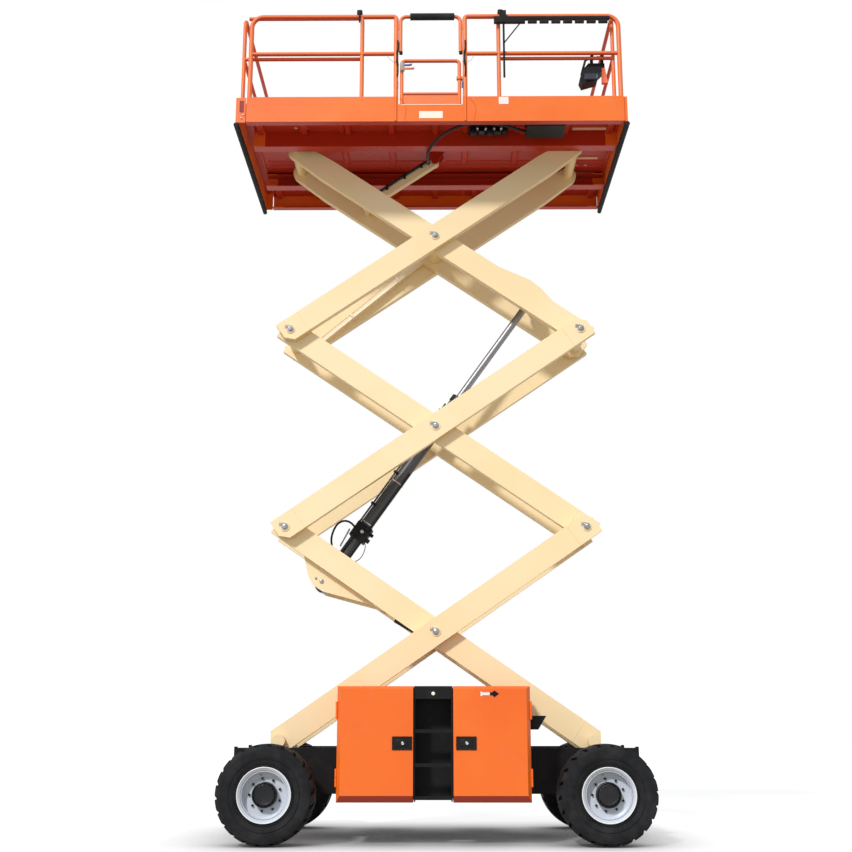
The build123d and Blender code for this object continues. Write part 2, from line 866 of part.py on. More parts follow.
def outer_arms(level):
    """Pair of arms rising to the front, joined by shafts that turn in the inner arms."""
    half = arm_length / 2
    arms = both_sides(lambda side: arm_beam((side * outer_arm_inner_face, side * outer_arm_outer_face),
                                            True, level))
    head = outer_arm_outer_face + pin_head_height
    reach = outer_arm_outer_face + 1

    def pivots(along, through):
        shape = None
        for side in SIDES:
            piece = bar_y(along, 0, (side * outer_arm_outer_face, side * head), pin_head_radius)
            if not through:
                piece += bar_y(along, 0, (side * inner_arm_inner_face, side * reach), shaft_radius)
            shape = piece if shape is None else shape + piece
        if through:
            shape += bar_y(along, 0, (-reach, reach), shaft_radius)
        return shape

    arms += pivots(0, level != 2)
    if level < level_count:
        arms += pivots(half, True)
    else:
        arms += roller_axle(half, outer_arm_inner_face, track_inner + 4)
    if level == 1:
        arms += roller_axle(-half, outer_arm_inner_face, roller_start)
    else:
        arms += pivots(-half, level > 2)
    return placed(arms, level, 1)


def centring_link(start_x, start_z):
    """Bar with a bored eye at each end, a quarter of an arm between its eyes."""
    half = link_thickness / 2
    eye = link_height / 2 + 2
    bar = block((0, link_length), (-half, half), (-link_height / 2, link_height / 2))
    for x in (0, link_length):
        bar += bar_y(x, 0, (-half, half), eye)
    for x in (0, link_length):
        bar -= bar_y(x, 0, (-half - 1, half + 1), link_pin_radius + running_clearance)
    return Pos(start_x, 0, start_z) * Rot(0, -arm_rest_angle, 0) * bar


def lower_link():
    return centring_link(0, lowest_pin_height)


def upper_link():
    return centring_link(-half_spread / 2, top_pin_height - level_rise / 4)


# ---------------------------------------------------------------- lift cylinder
def on_arm(level, along, above):
    """Rest place of a point given along and above the falling arm of a level."""
    angle = radians(arm_rest_angle)
    x = along * cos(angle) + above * sin(angle)
    z = level_base(level) + level_rise / 2 - along * sin(angle) + above * cos(angle)
    return x, z


cylinder_base = on_arm(1, -cylinder_base_along, -cylinder_base_below)
cylinder_eye = on_arm(level_count, cylinder_eye_along, cylinder_eye_above)
cylinder_reach = hypot(cylinder_eye[0] - cylinder_base[0], cylinder_eye[1] - cylinder_base[1])
cylinder_angle = degrees(atan2(cylinder_eye[1] - cylinder_base[1], cylinder_eye[0] - cylinder_base[0]))


def along_cylinder(shape):
    return Pos(cylinder_base[0], 0, cylinder_base[1]) * Rot(0, -cylinder_angle, 0) * shape


def cylinder_barrel():
    width = cylinder_eye_width / 2
    barrel = bar_x(0, 0, (0, barrel_length), barrel_radius)
    barrel += bar_y(0, 0, (-width, width), cylinder_eye_radius)
    barrel += bar_x(0, 0, (barrel_length - gland_length, barrel_length), barrel_radius + 6)
    barrel -= bar_y(0, 0, (-width - 9, width + 9), cylinder_pin_radius + running_clearance)
    barrel -= bar_x(0, 0, (cylinder_eye_radius + 15, barrel_length - gland_length), barrel_bore)
    barrel -= bar_x(0, 0, (barrel_length - gland_length - 1, barrel_length + 1),
                    rod_radius + running_clearance)
    return along_cylinder(barrel)


def cylinder_rod():
    start = cylinder_reach - rod_length
    width = cylinder_eye_width / 2
    rod = bar_x(0, 0, (start, cylinder_reach), rod_radius)
    rod += bar_x(0, 0, (start, start + piston_length), barrel_bore - running_clearance)
    rod += bar_y(cylinder_reach, 0, (-width, width), cylinder_eye_radius)
    pin_reach = inner_arm_inner_face - 4
    rod += bar_y(cylinder_reach, 0, (-pin_reach, pin_reach), cylinder_pin_radius)
    return along_cylinder(rod)


# ---------------------------------------------------------------- platform
def platform_frame():
    """Fascia ring, roller channels and cross members under the deck."""
    half_x, half_y = platform_half_length, platform_half_width
    frame = None
    for side in SIDES:
        fascia = block((-half_x, half_x), (side * (half_y - fascia_thickness), side * half_y),
                       (fascia_bottom, fascia_top))
        lip = block((-half_x, half_x), (side * (half_y - fascia_lip), side * half_y),
                    (fascia_bottom, fascia_bottom + fascia_thickness))
        web = block((-half_x, half_x), (side * (track_outer - track_web), side * track_outer),
                    (top_pin_height - roller_radius - track_clearance - track_flange, deck_bottom))
        head = block((-half_x, half_x), (side * (half_y - 2 * rail_inset), side * half_y),
                     (fascia_top - fascia_thickness, fascia_top))
        piece = fascia + lip + head + web
        for gap in (-1, 1):
            z = top_pin_height + gap * (roller_radius + track_clearance)
            piece += block((-half_x, half_x), (side * track_inner, side * track_outer),
                           (z, z + gap * track_flange))
        for x in cross_member_places():
            piece += block((x - member_width / 2, x + member_width / 2),
                           (side * track_outer, side * (half_y - fascia_thickness)),
                           (deck_bottom - member_depth, deck_bottom))
        frame = piece if frame is None else frame + piece
    for end in (-1, 1):
        frame += block((end * (half_x - track_web), end * half_x), (-half_y, half_y),
                       (top_pin_height + roller_radius + 12, deck_bottom))
    bay = block((bay_low + rail_radius + 2, bay_high - rail_radius - 2), (-half_y - 1, -half_y + fascia_lip),
                (deck_top + gate_gap / 2, fascia_top + 1))
    frame -= bay
    for x in (bay_low, bay_high):
        y = -half_y + fascia_thickness - bay_strip_radius
        frame += bar_z(x, y, (fascia_bottom, fascia_top), bay_strip_radius)
    return frame + link_hanger()


def cross_member_places():
    span = 2 * (platform_half_length - member_end_inset)
    return [-span / 2 + span * i / (member_count - 1) for i in range(member_count)]


def link_hanger():
    inner = link_thickness / 2 + link_lug_gap
    outer = inner + link_lug_thickness
    foot, head = link_hanger_foot_half, link_hanger_head_half
    points = [(-foot, deck_bottom), (foot, deck_bottom), (head, top_pin_height), (-head, top_pin_height)]
    hanger = both_sides(lambda side: plate_xz(points, (side * inner, side * outer))
                        + bar_y(0, top_pin_height, (side * inner, side * outer), head))
    beam = block((-link_stand_foot_half, link_stand_foot_half), (-track_outer, track_outer),
                 (deck_bottom - link_hanger_plate, deck_bottom))
    return hanger + beam + bar_y(0, top_pin_height, (-outer - 4, outer + 4), link_pin_radius)


def platform_deck():
    edge = platform_half_width - fascia_thickness
    return block((-platform_half_length, platform_half_length), (-edge, edge), (deck_bottom, deck_top))


def outer_corner(end, side):
    """Top rail's outer stretch, bent down into the end post of its section."""
    y = side * side_rail_y
    near = end * (rail_end - 3 * outer_bend)
    corner, foot = (end * rail_end, y, top_rail), (end * rail_end, y, fascia_top)
    return tube_path([(near, y, top_rail), corner, foot], rail_radius, outer_bend)


def guard_rails():
    """Fixed side rails. The near side has an entry bay under a hoop that joins its two sections."""
    y = side_rail_y
    far = outer_corner(-1, 1) + outer_corner(1, 1)
    far += bar_x(y, top_rail, (-rail_end + 2 * outer_bend, rail_end - 2 * outer_bend), rail_radius)
    far += bar_x(y, mid_rail, (-rail_end, rail_end), mid_rail_radius)
    for x in (post_places[0], 0, post_places[1]):
        far += bar_z(x, y, (fascia_top, top_rail), post_radius)
    near = entry_hoop() + gate_ring_on_post()
    for end, bay_edge, post in ((-1, bay_low, post_places[0]), (1, bay_high, post_places[1])):
        near += outer_corner(end, -1)
        near += bar_x(-y, mid_rail, (end * rail_end, bay_edge), mid_rail_radius)
        near += bar_z(post, -y, (fascia_top, top_rail), post_radius)
        near += tube_path([(end * (rail_end - 2 * outer_bend), -y, top_rail), (bay_edge, -y, top_rail),
                           (bay_edge, -y, fascia_top)], rail_radius, bay_bend)
    return [far, near]


def hoop_legs():
    return (bay_low + rail_radius + hoop_radius + 2, bay_high - rail_radius - hoop_radius - 2)


def entry_hoop():
    """Inverted U over the gate, clamped to the bay's two posts."""
    low, high = hoop_legs()
    y, foot = -side_rail_y, mid_rail + hoop_leg_bottom
    hoop = tube_path([(low, y, foot), (low, y, top_rail), (high, y, top_rail), (high, y, foot)],
                     hoop_radius, hoop_bend)
    for leg, post in ((low, bay_low), (high, bay_high)):
        for z in (foot + hoop_clamp_rise, top_rail - 2 * hoop_bend):
            hoop += block((leg, post), (y - hoop_radius / 2, y + hoop_radius / 2),
                          (z - hoop_clamp_half, z + hoop_clamp_half))
    return hoop


def hoop_grip():
    """Foam sleeve on the hoop's top bar."""
    low, high = hoop_legs()
    span = (low + grip_insets[0], high - grip_insets[1])
    sleeve = bar_x(-side_rail_y, top_rail, span, grip_radius)
    bore = (span[0] - 1, span[1] + 1)
    return sleeve - bar_x(-side_rail_y, top_rail, bore, hoop_radius + running_clearance)


def gate_ring_on_post():
    """Bored ring round the gate's stile on the bay's front post."""
    x, y = gate_axis, -side_rail_y
    height = (gate_ring - gate_ring_half, gate_ring + gate_ring_half)
    ring = block((x, bay_high), (y - gate_ring_half + 2, y + gate_ring_half - 2), height)
    ring += bar_z(x, y, height, gate_tube_radius + gate_ring_wall)
    ring -= bar_z(x, y, (height[0] - 1, height[1] + 1), gate_tube_radius + running_clearance)
    return ring


def gate():
    """Swing gate of the entry bay: a bent tube frame with a lower bar and a toe panel."""
    y = -side_rail_y
    low = bay_low + rail_radius + gate_gap + gate_tube_radius
    frame = tube_path([(low, y, gate_bottom), (low, y, gate_top), (gate_axis, y, gate_top),
                       (gate_axis, y, gate_bottom)], gate_tube_radius, gate_bend)
    frame += bar_x(y, gate_bottom + gate_toe_height, (low, gate_axis), gate_tube_radius - 2)
    return frame + block((low, gate_axis), (y - 4, y + 4),
                         (gate_bottom + 2, gate_bottom + gate_toe_height))


def extension_deck(end):
    """Roll-out deck plate with side toe boards, an end board and its returns along the fascia."""
    half_y = nested_rail_y + nested_rail_radius
    toe_y = nested_rail_y - nested_rail_radius - 8
    board_y = platform_half_width - end_board_inset
    z_low = deck_top + seat_clearance
    reach = extension_ends[end]
    plate_span = (end * extension_inner_end, end * reach)
    shape = block(plate_span, (-half_y, half_y), (z_low, z_low + extension_plate))
    shape += block((end * (reach - end_board_thickness), end * reach), (-board_y, board_y),
                   (fascia_bottom, fascia_top))
    for side in SIDES:
        shape += block(plate_span, (side * (toe_y - 6), side * toe_y),
                       (z_low, z_low + extension_toe_height))
        shape += block((end * (platform_half_length + 6), end * (reach - 1)),
                       (side * (board_y - fascia_thickness), side * board_y), (fascia_bottom, fascia_top))
    return shape


def bumper(end):
    """Rubber bar under a roll-out deck's end board."""
    x = extension_ends[end] - bumper_radius / 3
    z = fascia_bottom - bumper_radius - 4
    bar = bar_y(end * x, z, (-platform_half_width, platform_half_width), bumper_radius)
    neck = block((end * (extension_ends[end] - end_board_thickness + 2), end * (extension_ends[end] - 2)),
                 (-platform_half_width + end_board_inset, platform_half_width - end_board_inset),
                 (z, fascia_bottom))
    return bar + neck


def extension_rails(end):
    """Nested side rails and the end rail that travel with a roll-out deck."""
    foot = deck_top + seat_clearance + extension_plate
    inner_x = post_places[0] if end < 0 else post_places[1]
    outer_x = end * (extension_ends[end] - nested_end_insets[end])
    radius = nested_rail_radius
    shape = tube_path([(outer_x, -nested_rail_y, foot), (outer_x, -nested_rail_y, nested_top),
                       (outer_x, nested_rail_y, nested_top), (outer_x, nested_rail_y, foot)], radius, 60)
    shape += bar_y(outer_x, nested_mid, (-nested_rail_y, nested_rail_y), radius - 1)
    for side in SIDES:
        y = side * nested_rail_y
        shape += tube_path([(inner_x, y, foot), (inner_x, y, nested_top),
                            (outer_x - end * 2 * radius, y, nested_top)], radius, 30)
        shape += bar_x(y, nested_mid, (inner_x, outer_x), radius - 1)
    return shape


def cable_track():
    """Link track of the control cable beside the top rail, with its pole, strut and rail clamp."""
    y, half = -side_rail_y - rail_radius - 4 - cable_track_width / 2, cable_track_width / 2
    z = top_rail - cable_track_drop
    shape = block((cable_track_low, cable_track_high), (y - half, y + half), (z - 8, z + 14))
    start = cable_track_low + cable_head_length
    shape += block((cable_track_low, start), (y - half, y + half), (z - cable_link_height, z + 1))
    x = start + cable_link_pitch - cable_link_length
    while x + cable_link_length <= cable_track_high + 1:
        link_y = (y - half + 3, y + half - 3)
        shape += block((x, x + cable_link_length), link_y, (z - cable_link_height, z + 1))
        x += cable_link_pitch
    pole_x = cable_track_low + cable_pole_inset
    shape += bar_z(pole_x, y, (z - cable_pole_length, z), cable_pole_radius)
    strut = Line((pole_x, y, z - 20 - cable_strut_rise), (pole_x + cable_strut_run, y, z - 20))
    shape += sweep(Plane(origin=strut @ 0, z_dir=strut % 0) * Circle(5), path=strut)
    span = (pole_x - cable_clamp_half, pole_x + cable_clamp_half)
    clamp = block(span, (y - half, -side_rail_y + rail_radius + 2),
                  (top_rail, top_rail + rail_radius + 6))
    clamp += block(span, (y - half, y + half), (z, top_rail + 1))
    clamp -= bar_x(-side_rail_y, top_rail, (span[0] - 1, span[1] + 1), rail_radius + running_clearance)
    return shape + clamp


def junction_box():
    """Electrical box hung under the platform's outer strip, with a flange against its cross members."""
    near, far = -platform_half_width + junction_box_edge_inset, -track_outer - junction_box_track_gap
    lip = junction_box_flange
    top = deck_bottom - member_depth
    low, high = junction_box_high - junction_box_length, junction_box_high
    box = block((low + lip, high - lip), (near + lip, far - lip), (top - junction_box_depth, top))
    box = fillet(box.edges().filter_by(Axis.Z), junction_box_corner)
    return box + block((low, high), (near, far), (top - 6, top))


def control_box():
    """Upper control station: a leaning box with a carrying loop, hung on the nested mid rail."""
    back = -nested_rail_y + nested_rail_radius + 6
    y_range = (back, back + control_box_width)
    middle = back + control_box_width // 2
    low, top = platform_half_length - control_box_end_gap, nested_mid - control_box_below_rail
    high, lean, nose = low + control_box_length, low + control_box_lean, control_box_nose
    outline = [(low, top - control_box_height), (lean, top - control_box_height - nose),
               (high - 60, top - control_box_height - 10), (high - nose, top - 2 * nose),
               (high, top - nose), (high, top), (low + 70, top), (lean, top - 60)]
    box = plate_xz(outline, y_range)
    handle = [(lean, middle, top - 70), (low + 55, middle, top + 60),
              (high - 10, middle, top + control_loop_rise), (high - 10, middle, top - 10)]
    loop = tube_path(handle, control_loop_radius, control_loop_bend)
    hook_top = nested_mid + nested_rail_radius - 1 + seat_clearance
    for place in control_hook_places:
        x_range = (low + place - control_hook_half, low + place + control_hook_half)
        box += block(x_range, (back - 1, back + 8), (top - 20, hook_top + control_hook_plate))
        hook_y = (back - 2 * nested_rail_radius - 8, back + 8)
        box += block(x_range, hook_y, (hook_top, hook_top + control_hook_plate))
    return box + loop


# ---------------------------------------------------------------- files
def main():
    os.makedirs("parts", exist_ok=True)
    save("chassis_frame", chassis_frame())
    save("link_stand", link_stand())
    save("tie_downs", Compound(tie_down_lugs()))
    save("slide_strips", slide_strips())
    save("rear_axle", rear_axle())
    save("front_axle", front_axle())
    save("tie_rod", tie_rod())
    for name, side in (("near", -1), ("far", 1)):
        save(f"steering_knuckle_{name}", knuckle(side))
        for place, span, x in (("rear", cabinet_rear, -axle_x), ("front", cabinet_front, axle_x)):
            save(f"tyre_{place}_{name}", tyre(side, x))
            save(f"wheel_{place}_{name}", wheel(side, x))
            save(f"door_{place}_{name}", door(side, span))
    save("ladders", Compound([ladder(side) for side in SIDES]))
    spans = (cabinet_rear, cabinet_front)
    save("cabinets", Compound([cabinet(side, span) for side in SIDES for span in spans]))
    save("engine_block", engine_block())
    save("fluid_tanks", Compound(fluid_tanks()))
    save("battery_box", battery_box())
    for level in range(1, level_count + 1):
        save(f"inner_arms_{level}", inner_arms(level))
        save(f"outer_arms_{level}", outer_arms(level))
    save("centring_link_lower", lower_link())
    save("centring_link_upper", upper_link())
    save("lift_cylinder_barrel", cylinder_barrel())
    save("lift_cylinder_rod", cylinder_rod())
    save("platform_frame", platform_frame())
    save("platform_deck", platform_deck())
    save("guard_rails", Compound(guard_rails()))
    save("entry_gate", gate())
    save("hoop_grip", hoop_grip())
    save("cable_track", cable_track())
    save("junction_box", junction_box())
    for name, end in (("rear", -1), ("front", 1)):
        save(f"bumper_{name}", bumper(end))
        save(f"extension_deck_{name}", extension_deck(end))
        save(f"extension_rails_{name}", extension_rails(end))
    save("control_box", control_box())


main()
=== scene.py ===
"""Looks of a self-propelled scissor lift: paints, rubber, bolts, latches, hoses and platform fittings."""
import json
from math import atan, cos, pi, radians, sin

import bpy
from mathutils import Matrix, Vector

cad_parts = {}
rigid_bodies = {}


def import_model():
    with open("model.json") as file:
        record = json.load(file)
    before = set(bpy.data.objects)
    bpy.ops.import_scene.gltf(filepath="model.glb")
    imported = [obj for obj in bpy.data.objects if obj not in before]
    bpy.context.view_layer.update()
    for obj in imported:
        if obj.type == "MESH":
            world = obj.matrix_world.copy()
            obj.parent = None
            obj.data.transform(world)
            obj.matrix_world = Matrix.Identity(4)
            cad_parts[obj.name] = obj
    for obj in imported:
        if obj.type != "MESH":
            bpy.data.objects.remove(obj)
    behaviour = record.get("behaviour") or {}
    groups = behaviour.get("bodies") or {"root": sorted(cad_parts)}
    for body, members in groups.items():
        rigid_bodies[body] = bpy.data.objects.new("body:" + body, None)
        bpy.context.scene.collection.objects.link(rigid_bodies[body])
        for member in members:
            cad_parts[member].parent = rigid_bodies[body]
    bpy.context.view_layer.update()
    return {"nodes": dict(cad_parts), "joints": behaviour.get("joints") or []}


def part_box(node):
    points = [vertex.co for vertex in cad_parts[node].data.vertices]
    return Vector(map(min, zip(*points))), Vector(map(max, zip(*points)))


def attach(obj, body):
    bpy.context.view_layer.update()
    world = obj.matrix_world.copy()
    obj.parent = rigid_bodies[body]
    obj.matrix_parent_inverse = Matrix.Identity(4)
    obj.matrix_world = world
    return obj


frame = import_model()
JOINT = {joint["name"]: Vector(joint["pos_m"]) for joint in frame["joints"] if joint["type"] == "hinge"}

NEAR, FAR = -1, 1
SIDES = (("near", NEAR), ("far", FAR))
CORNERS = [f"{end}_{side}" for end in ("rear", "front") for side in ("near", "far")]
Y_AXIS = Vector((0, 1, 0))
CAMERA_PLACE, CAMERA_LENS = (-0.0063, -9.2912, 0.7961), 51.59
CAMERA_RISE, CAMERA_TURN = 13.671, 0.425  # degrees up from level, and to the left
SUN_STRENGTH, SKY_STRENGTH = 2.5, 0.66
DISC_DEPTH = 0.0883                       # wheel disc behind the tyre's sidewall
LIP_DEPTH = 0.0135                        # rim lip behind the tyre's sidewall
OUTER_ARM_Y, INNER_ARM_Y = 0.312, 0.240   # outward faces of the two rows of arms
RAIL_Y = -0.805                           # middle of the near rails
TOP_RAIL_RISE = 0.846                     # top rail above the platform's pins
HOOP_END_RISE = 0.534                     # lower ends of the entry hoop above the platform's pins
FASCIA_LOW, FASCIA_HIGH = 5.240, 5.446    # edges of the panels beside the entry bay
SKIRT = (0.815, 1.350, 5.374)             # half width, half length and top of what the skirt shades
DECK_FOOT = 5.340                         # underside that the valve plate is screwed to


# ---------------------------------------------------------------- view and light
def set_camera():
    """Low view from the near side, looking up at the raised platform."""
    bpy.ops.object.camera_add(location=CAMERA_PLACE,
                              rotation=(radians(90 + CAMERA_RISE), 0, radians(CAMERA_TURN)))
    camera = bpy.context.object
    camera.data.sensor_width = 36
    camera.data.lens = CAMERA_LENS
    camera.data.clip_end = 200
    bpy.context.scene.camera = camera


def set_light():
    """One soft high lamp from the front left, over an even pale sky."""
    bpy.ops.object.light_add(type="SUN", location=(-4, -6, 8))
    sun = bpy.context.object
    sun.data.energy = SUN_STRENGTH
    sun.data.angle = radians(6)
    toward = Vector((-0.42, -0.80, 0.72))
    sun.rotation_euler = toward.to_track_quat("Z", "Y").to_euler()

    world = bpy.data.worlds.new("studio_sky")
    bpy.context.scene.world = world
    world.use_nodes = True
    tree = world.node_tree
    tree.nodes.clear()
    path = tree.nodes.new("ShaderNodeLightPath")
    seen = add_math(tree, "MAXIMUM", path.outputs["Is Camera Ray"], path.outputs["Is Transmission Ray"])
    lit = tree.nodes.new("ShaderNodeBackground")
    lit.inputs["Color"].default_value = (0.93, 0.96, 1, 1)
    lit.inputs["Strength"].default_value = SKY_STRENGTH
    white = tree.nodes.new("ShaderNodeBackground")
    white.inputs["Color"].default_value = (1, 1, 1, 1)
    mix = tree.nodes.new("ShaderNodeMixShader")
    out = tree.nodes.new("ShaderNodeOutputWorld")
    tree.links.new(seen, mix.inputs[0])
    tree.links.new(lit.outputs[0], mix.inputs[1])
    tree.links.new(white.outputs[0], mix.inputs[2])
    tree.links.new(mix.outputs[0], out.inputs[0])


def lay_floor():
    """Pale floor that keeps the machine's shadow and fades into the white sky; its glow is darkened by
    occlusion under the machine, a painted contact shadow.
    """
    bpy.ops.mesh.primitive_circle_add(vertices=64, radius=60, fill_type="NGON")
    floor = bpy.context.object
    floor.name = "studio_floor"
    finish = bpy.data.materials.new("pale_floor")
    finish.use_nodes = True
    tree = finish.node_tree
    shader = tree.nodes["Principled BSDF"]
    shader.inputs["Roughness"].default_value = 0.9
    shader.inputs["Specular IOR Level"].default_value = 0
    path = tree.nodes.new("ShaderNodeLightPath")
    seen = add_math(tree, "MAXIMUM", path.outputs["Is Camera Ray"], path.outputs["Is Glossy Ray"])
    seen = add_math(tree, "MAXIMUM", seen, path.outputs["Is Transmission Ray"])
    tone = mix_colour(tree, seen, (0.50, 0.46, 0.40, 1), (0.22, 0.22, 0.22, 1))
    tree.links.new(tone, shader.inputs["Base Color"])
    # the glow that camera rays see dims where the machine hems the floor in: painted contact shadow
    shade = tree.nodes.new("ShaderNodeAmbientOcclusion")
    shade.samples = 8
    shade.inputs["Distance"].default_value = 0.75
    open_sky = add_math(tree, "POWER", ramp(tree, shade.outputs["AO"], 0.12, 0.97), 1.3)
    soft = mix_colour(tree, open_sky, (0.03, 0.03, 0.03, 1), (0.83, 0.83, 0.83, 1))
    glow = mix_colour(tree, seen, (0, 0, 0, 1), soft)
    tree.links.new(glow, shader.inputs["Emission Color"])
    shader.inputs["Emission Strength"].default_value = 1
    floor.data.materials.append(finish)


# ---------------------------------------------------------------- shader building blocks
def add_math(tree, operation, a, b=None, c=None):
    """A math node fed with numbers or other nodes' outputs."""
    node = tree.nodes.new("ShaderNodeMath")
    node.operation = operation
    for socket, value in zip(node.inputs, (a, b, c)):
        if value is None:
            continue
        if isinstance(value, (int, float)):
            socket.default_value = value
        else:
            tree.links.new(value, socket)
    return node.outputs[0]


def mix_colour(tree, factor, first, second):
    """The first colour where the factor is 0, the second where it is 1."""
    node = tree.nodes.new("ShaderNodeMix")
    node.data_type = "RGBA"
    for name, value in ((0, factor), (6, first), (7, second)):
        if isinstance(value, (int, float, tuple)):
            node.inputs[name].default_value = value
        else:
            tree.links.new(value, node.inputs[name])
    return node.outputs[2]


def ramp(tree, factor, low, high):
    """Maps a value between low and high onto 0 to 1, clamped."""
    node = tree.nodes.new("ShaderNodeMapRange")
    node.inputs["From Min"].default_value = low
    node.inputs["From Max"].default_value = high
    tree.links.new(factor, node.inputs["Value"])
    return node.outputs["Result"]


def noise(tree, vector, scale, detail=3.0, roughness=0.55):
    """Cloudy grey pattern with about scale blotches to a metre."""
    node = tree.nodes.new("ShaderNodeTexNoise")
    node.inputs["Detail"].default_value = detail
    node.inputs["Roughness"].default_value = roughness
    node.inputs["Scale"].default_value = scale
    tree.links.new(vector, node.inputs["Vector"])
    return node.outputs["Fac"]


def object_place(tree):
    """The point's own place in the object, which doesn't slide as the machine moves."""
    return tree.nodes.new("ShaderNodeTexCoord").outputs["Object"]


def split_axes(tree, vector):
    """The X, Y and Z of a vector."""
    split = tree.nodes.new("ShaderNodeSeparateXYZ")
    tree.links.new(vector, split.inputs[0])
    return split.outputs


def use_group(tree, group, values=()):
    """Places a node group in a material, with that material's own values."""
    node = tree.nodes.new("ShaderNodeGroup")
    node.node_tree = group
    for label, value in values:
        node.inputs[label].default_value = value
    return node.outputs


def new_group(name, inputs, outputs):
    """A shader node group with (name, kind, value) inputs and (name, kind) outputs."""
    group = bpy.data.node_groups.new(name, "ShaderNodeTree")
    for label, kind, value in inputs:
        socket = group.interface.new_socket(label, in_out="INPUT", socket_type=kind)
        if value is not None:
            socket.default_value = value
    for label, kind in outputs:
        group.interface.new_socket(label, in_out="OUTPUT", socket_type=kind)
    return group, group.nodes.new("NodeGroupInput").outputs, group.nodes.new("NodeGroupOutput").inputs


def paint_film_group():
    """Sprayed paint: slow drift between two tones, dust in blotches and an orange-peel height."""
    group, given, out = new_group("paint_film", (
        ("Paint", "NodeSocketColor", (1, 1, 1, 1)),
        ("Faded", "NodeSocketColor", (1, 1, 1, 1)),
        ("Dust", "NodeSocketColor", (0.5, 0.45, 0.4, 1)),
        ("Dust Amount", "NodeSocketFloat", 0.15),
        ("Gloss Roughness", "NodeSocketFloat", 0.35)),
        (("Color", "NodeSocketColor"), ("Roughness", "NodeSocketFloat"), ("Height", "NodeSocketFloat")))
    place = object_place(group)
    drift = ramp(group, noise(group, place, 1.7, 2), 0.35, 0.7)
    tone = mix_colour(group, drift, given["Paint"], given["Faded"])
    blotch = ramp(group, noise(group, place, 9, 5, 0.65), 0.5, 0.85)
    dusty = add_math(group, "MULTIPLY", blotch, given["Dust Amount"])
    group.links.new(mix_colour(group, dusty, tone, given["Dust"]), out["Color"])
    scuff = noise(group, place, 38, 4, 0.7)
    rough = add_math(group, "MULTIPLY_ADD", scuff, 0.16, given["Gloss Roughness"])
    group.links.new(add_math(group, "ADD", rough, dusty), out["Roughness"])
    group.links.new(noise(group, place, 420, 1), out["Height"])
    return group


def down_facing_group():
    """Mask of the faces that look down, which the materials paint in their darker under tone: painted shade.
    """
    group, given, out = new_group("down_facing", (("Start", "NodeSocketFloat", 0.25),),
                                  (("Mask", "NodeSocketFloat"),))
    normal = split_axes(group, group.nodes.new("ShaderNodeNewGeometry").outputs["Normal"])
    downward = add_math(group, "MULTIPLY", normal["Z"], -1)
    shifted = add_math(group, "SUBTRACT", downward, given["Start"])
    group.links.new(ramp(group, shifted, 0, 0.35), out["Mask"])
    return group


def inner_side_group():
    """Mask of what lies inside the platform's skirt and below its deck, which the platform's frame paints
    darker: painted shade.
    """
    group, given, out = new_group("inner_side", (
        ("Half Width", "NodeSocketFloat", 0.8),
        ("Half Length", "NodeSocketFloat", 1.3),
        ("Below", "NodeSocketFloat", 5.3)),
        (("Mask", "NodeSocketFloat"),))
    place = split_axes(group, object_place(group))
    wide = add_math(group, "LESS_THAN", add_math(group, "ABSOLUTE", place["Y"]), given["Half Width"])
    long = add_math(group, "LESS_THAN", add_math(group, "ABSOLUTE", place["X"]), given["Half Length"])
    low = add_math(group, "LESS_THAN", place["Z"], given["Below"])
    group.links.new(add_math(group, "MULTIPLY", add_math(group, "MULTIPLY", wide, long), low), out["Mask"])
    return group


def rubber_group():
    """Tyre rubber: grey bloom in blotches, fine grain, and ribs that run out from the hub."""
    group, given, out = new_group("tyre_surface", (
        ("Centre", "NodeSocketVector", (0, 0, 0)),
        ("Rubber", "NodeSocketColor", (0.03, 0.03, 0.03, 1)),
        ("Bloom", "NodeSocketColor", (0.1, 0.1, 0.1, 1))),
        (("Color", "NodeSocketColor"), ("Height", "NodeSocketFloat")))
    place = object_place(group)
    local = group.nodes.new("ShaderNodeVectorMath")
    local.operation = "SUBTRACT"
    group.links.new(place, local.inputs[0])
    group.links.new(given["Centre"], local.inputs[1])
    from_hub = split_axes(group, local.outputs[0])
    x, z = from_hub["X"], from_hub["Z"]
    turn = add_math(group, "ARCTAN2", z, x)
    ribs = add_math(group, "SINE", add_math(group, "MULTIPLY", turn, 150))
    radius = add_math(group, "SQRT", add_math(group, "ADD", add_math(group, "MULTIPLY", x, x),
                                              add_math(group, "MULTIPLY", z, z)))
    band = add_math(group, "MULTIPLY", ramp(group, radius, 0.188, 0.196), ramp(group, radius, 0.278, 0.268))
    ribs = add_math(group, "MULTIPLY", ribs, band)
    grain = noise(group, place, 260, 2)
    group.links.new(add_math(group, "MULTIPLY_ADD", ribs, 0.6, grain), out["Height"])
    bloom = ramp(group, noise(group, place, 11, 4, 0.6), 0.4, 0.75)
    group.links.new(mix_colour(group, bloom, given["Rubber"], given["Bloom"]), out["Color"])
    return group


def tread_group():
    """Non-slip deck plate: short raised bars that alternate their slant."""
    group, given, out = new_group("deck_tread", (("Pitch", "NodeSocketFloat", 30.0),),
                                  (("Height", "NodeSocketFloat"),))
    place = split_axes(group, object_place(group))
    across, along = (add_math(group, "SINE", add_math(group, "MULTIPLY", add_math(
        group, operation, place["X"], place["Y"]), given["Pitch"])) for operation in ("ADD", "SUBTRACT"))
    bars = add_math(group, "MULTIPLY", add_math(group, "ABSOLUTE", across),
                    add_math(group, "ABSOLUTE", along))
    group.links.new(ramp(group, bars, 0.55, 0.75), out["Height"])
    return group


PAINT_FILM = paint_film_group()
DOWN_FACING = down_facing_group()
SKIRT_SHADE_MASK = inner_side_group()
TYRE_SURFACE = rubber_group()
DECK_TREAD = tread_group()


def new_material(name, roughness=0.5, metallic=0.0):
    """A plain material, its node tree and its shader."""
    material = bpy.data.materials.new(name)
    material.use_nodes = True
    shader = material.node_tree.nodes["Principled BSDF"]
    shader.inputs["Roughness"].default_value = roughness
    shader.inputs["Metallic"].default_value = metallic
    return material, material.node_tree, shader


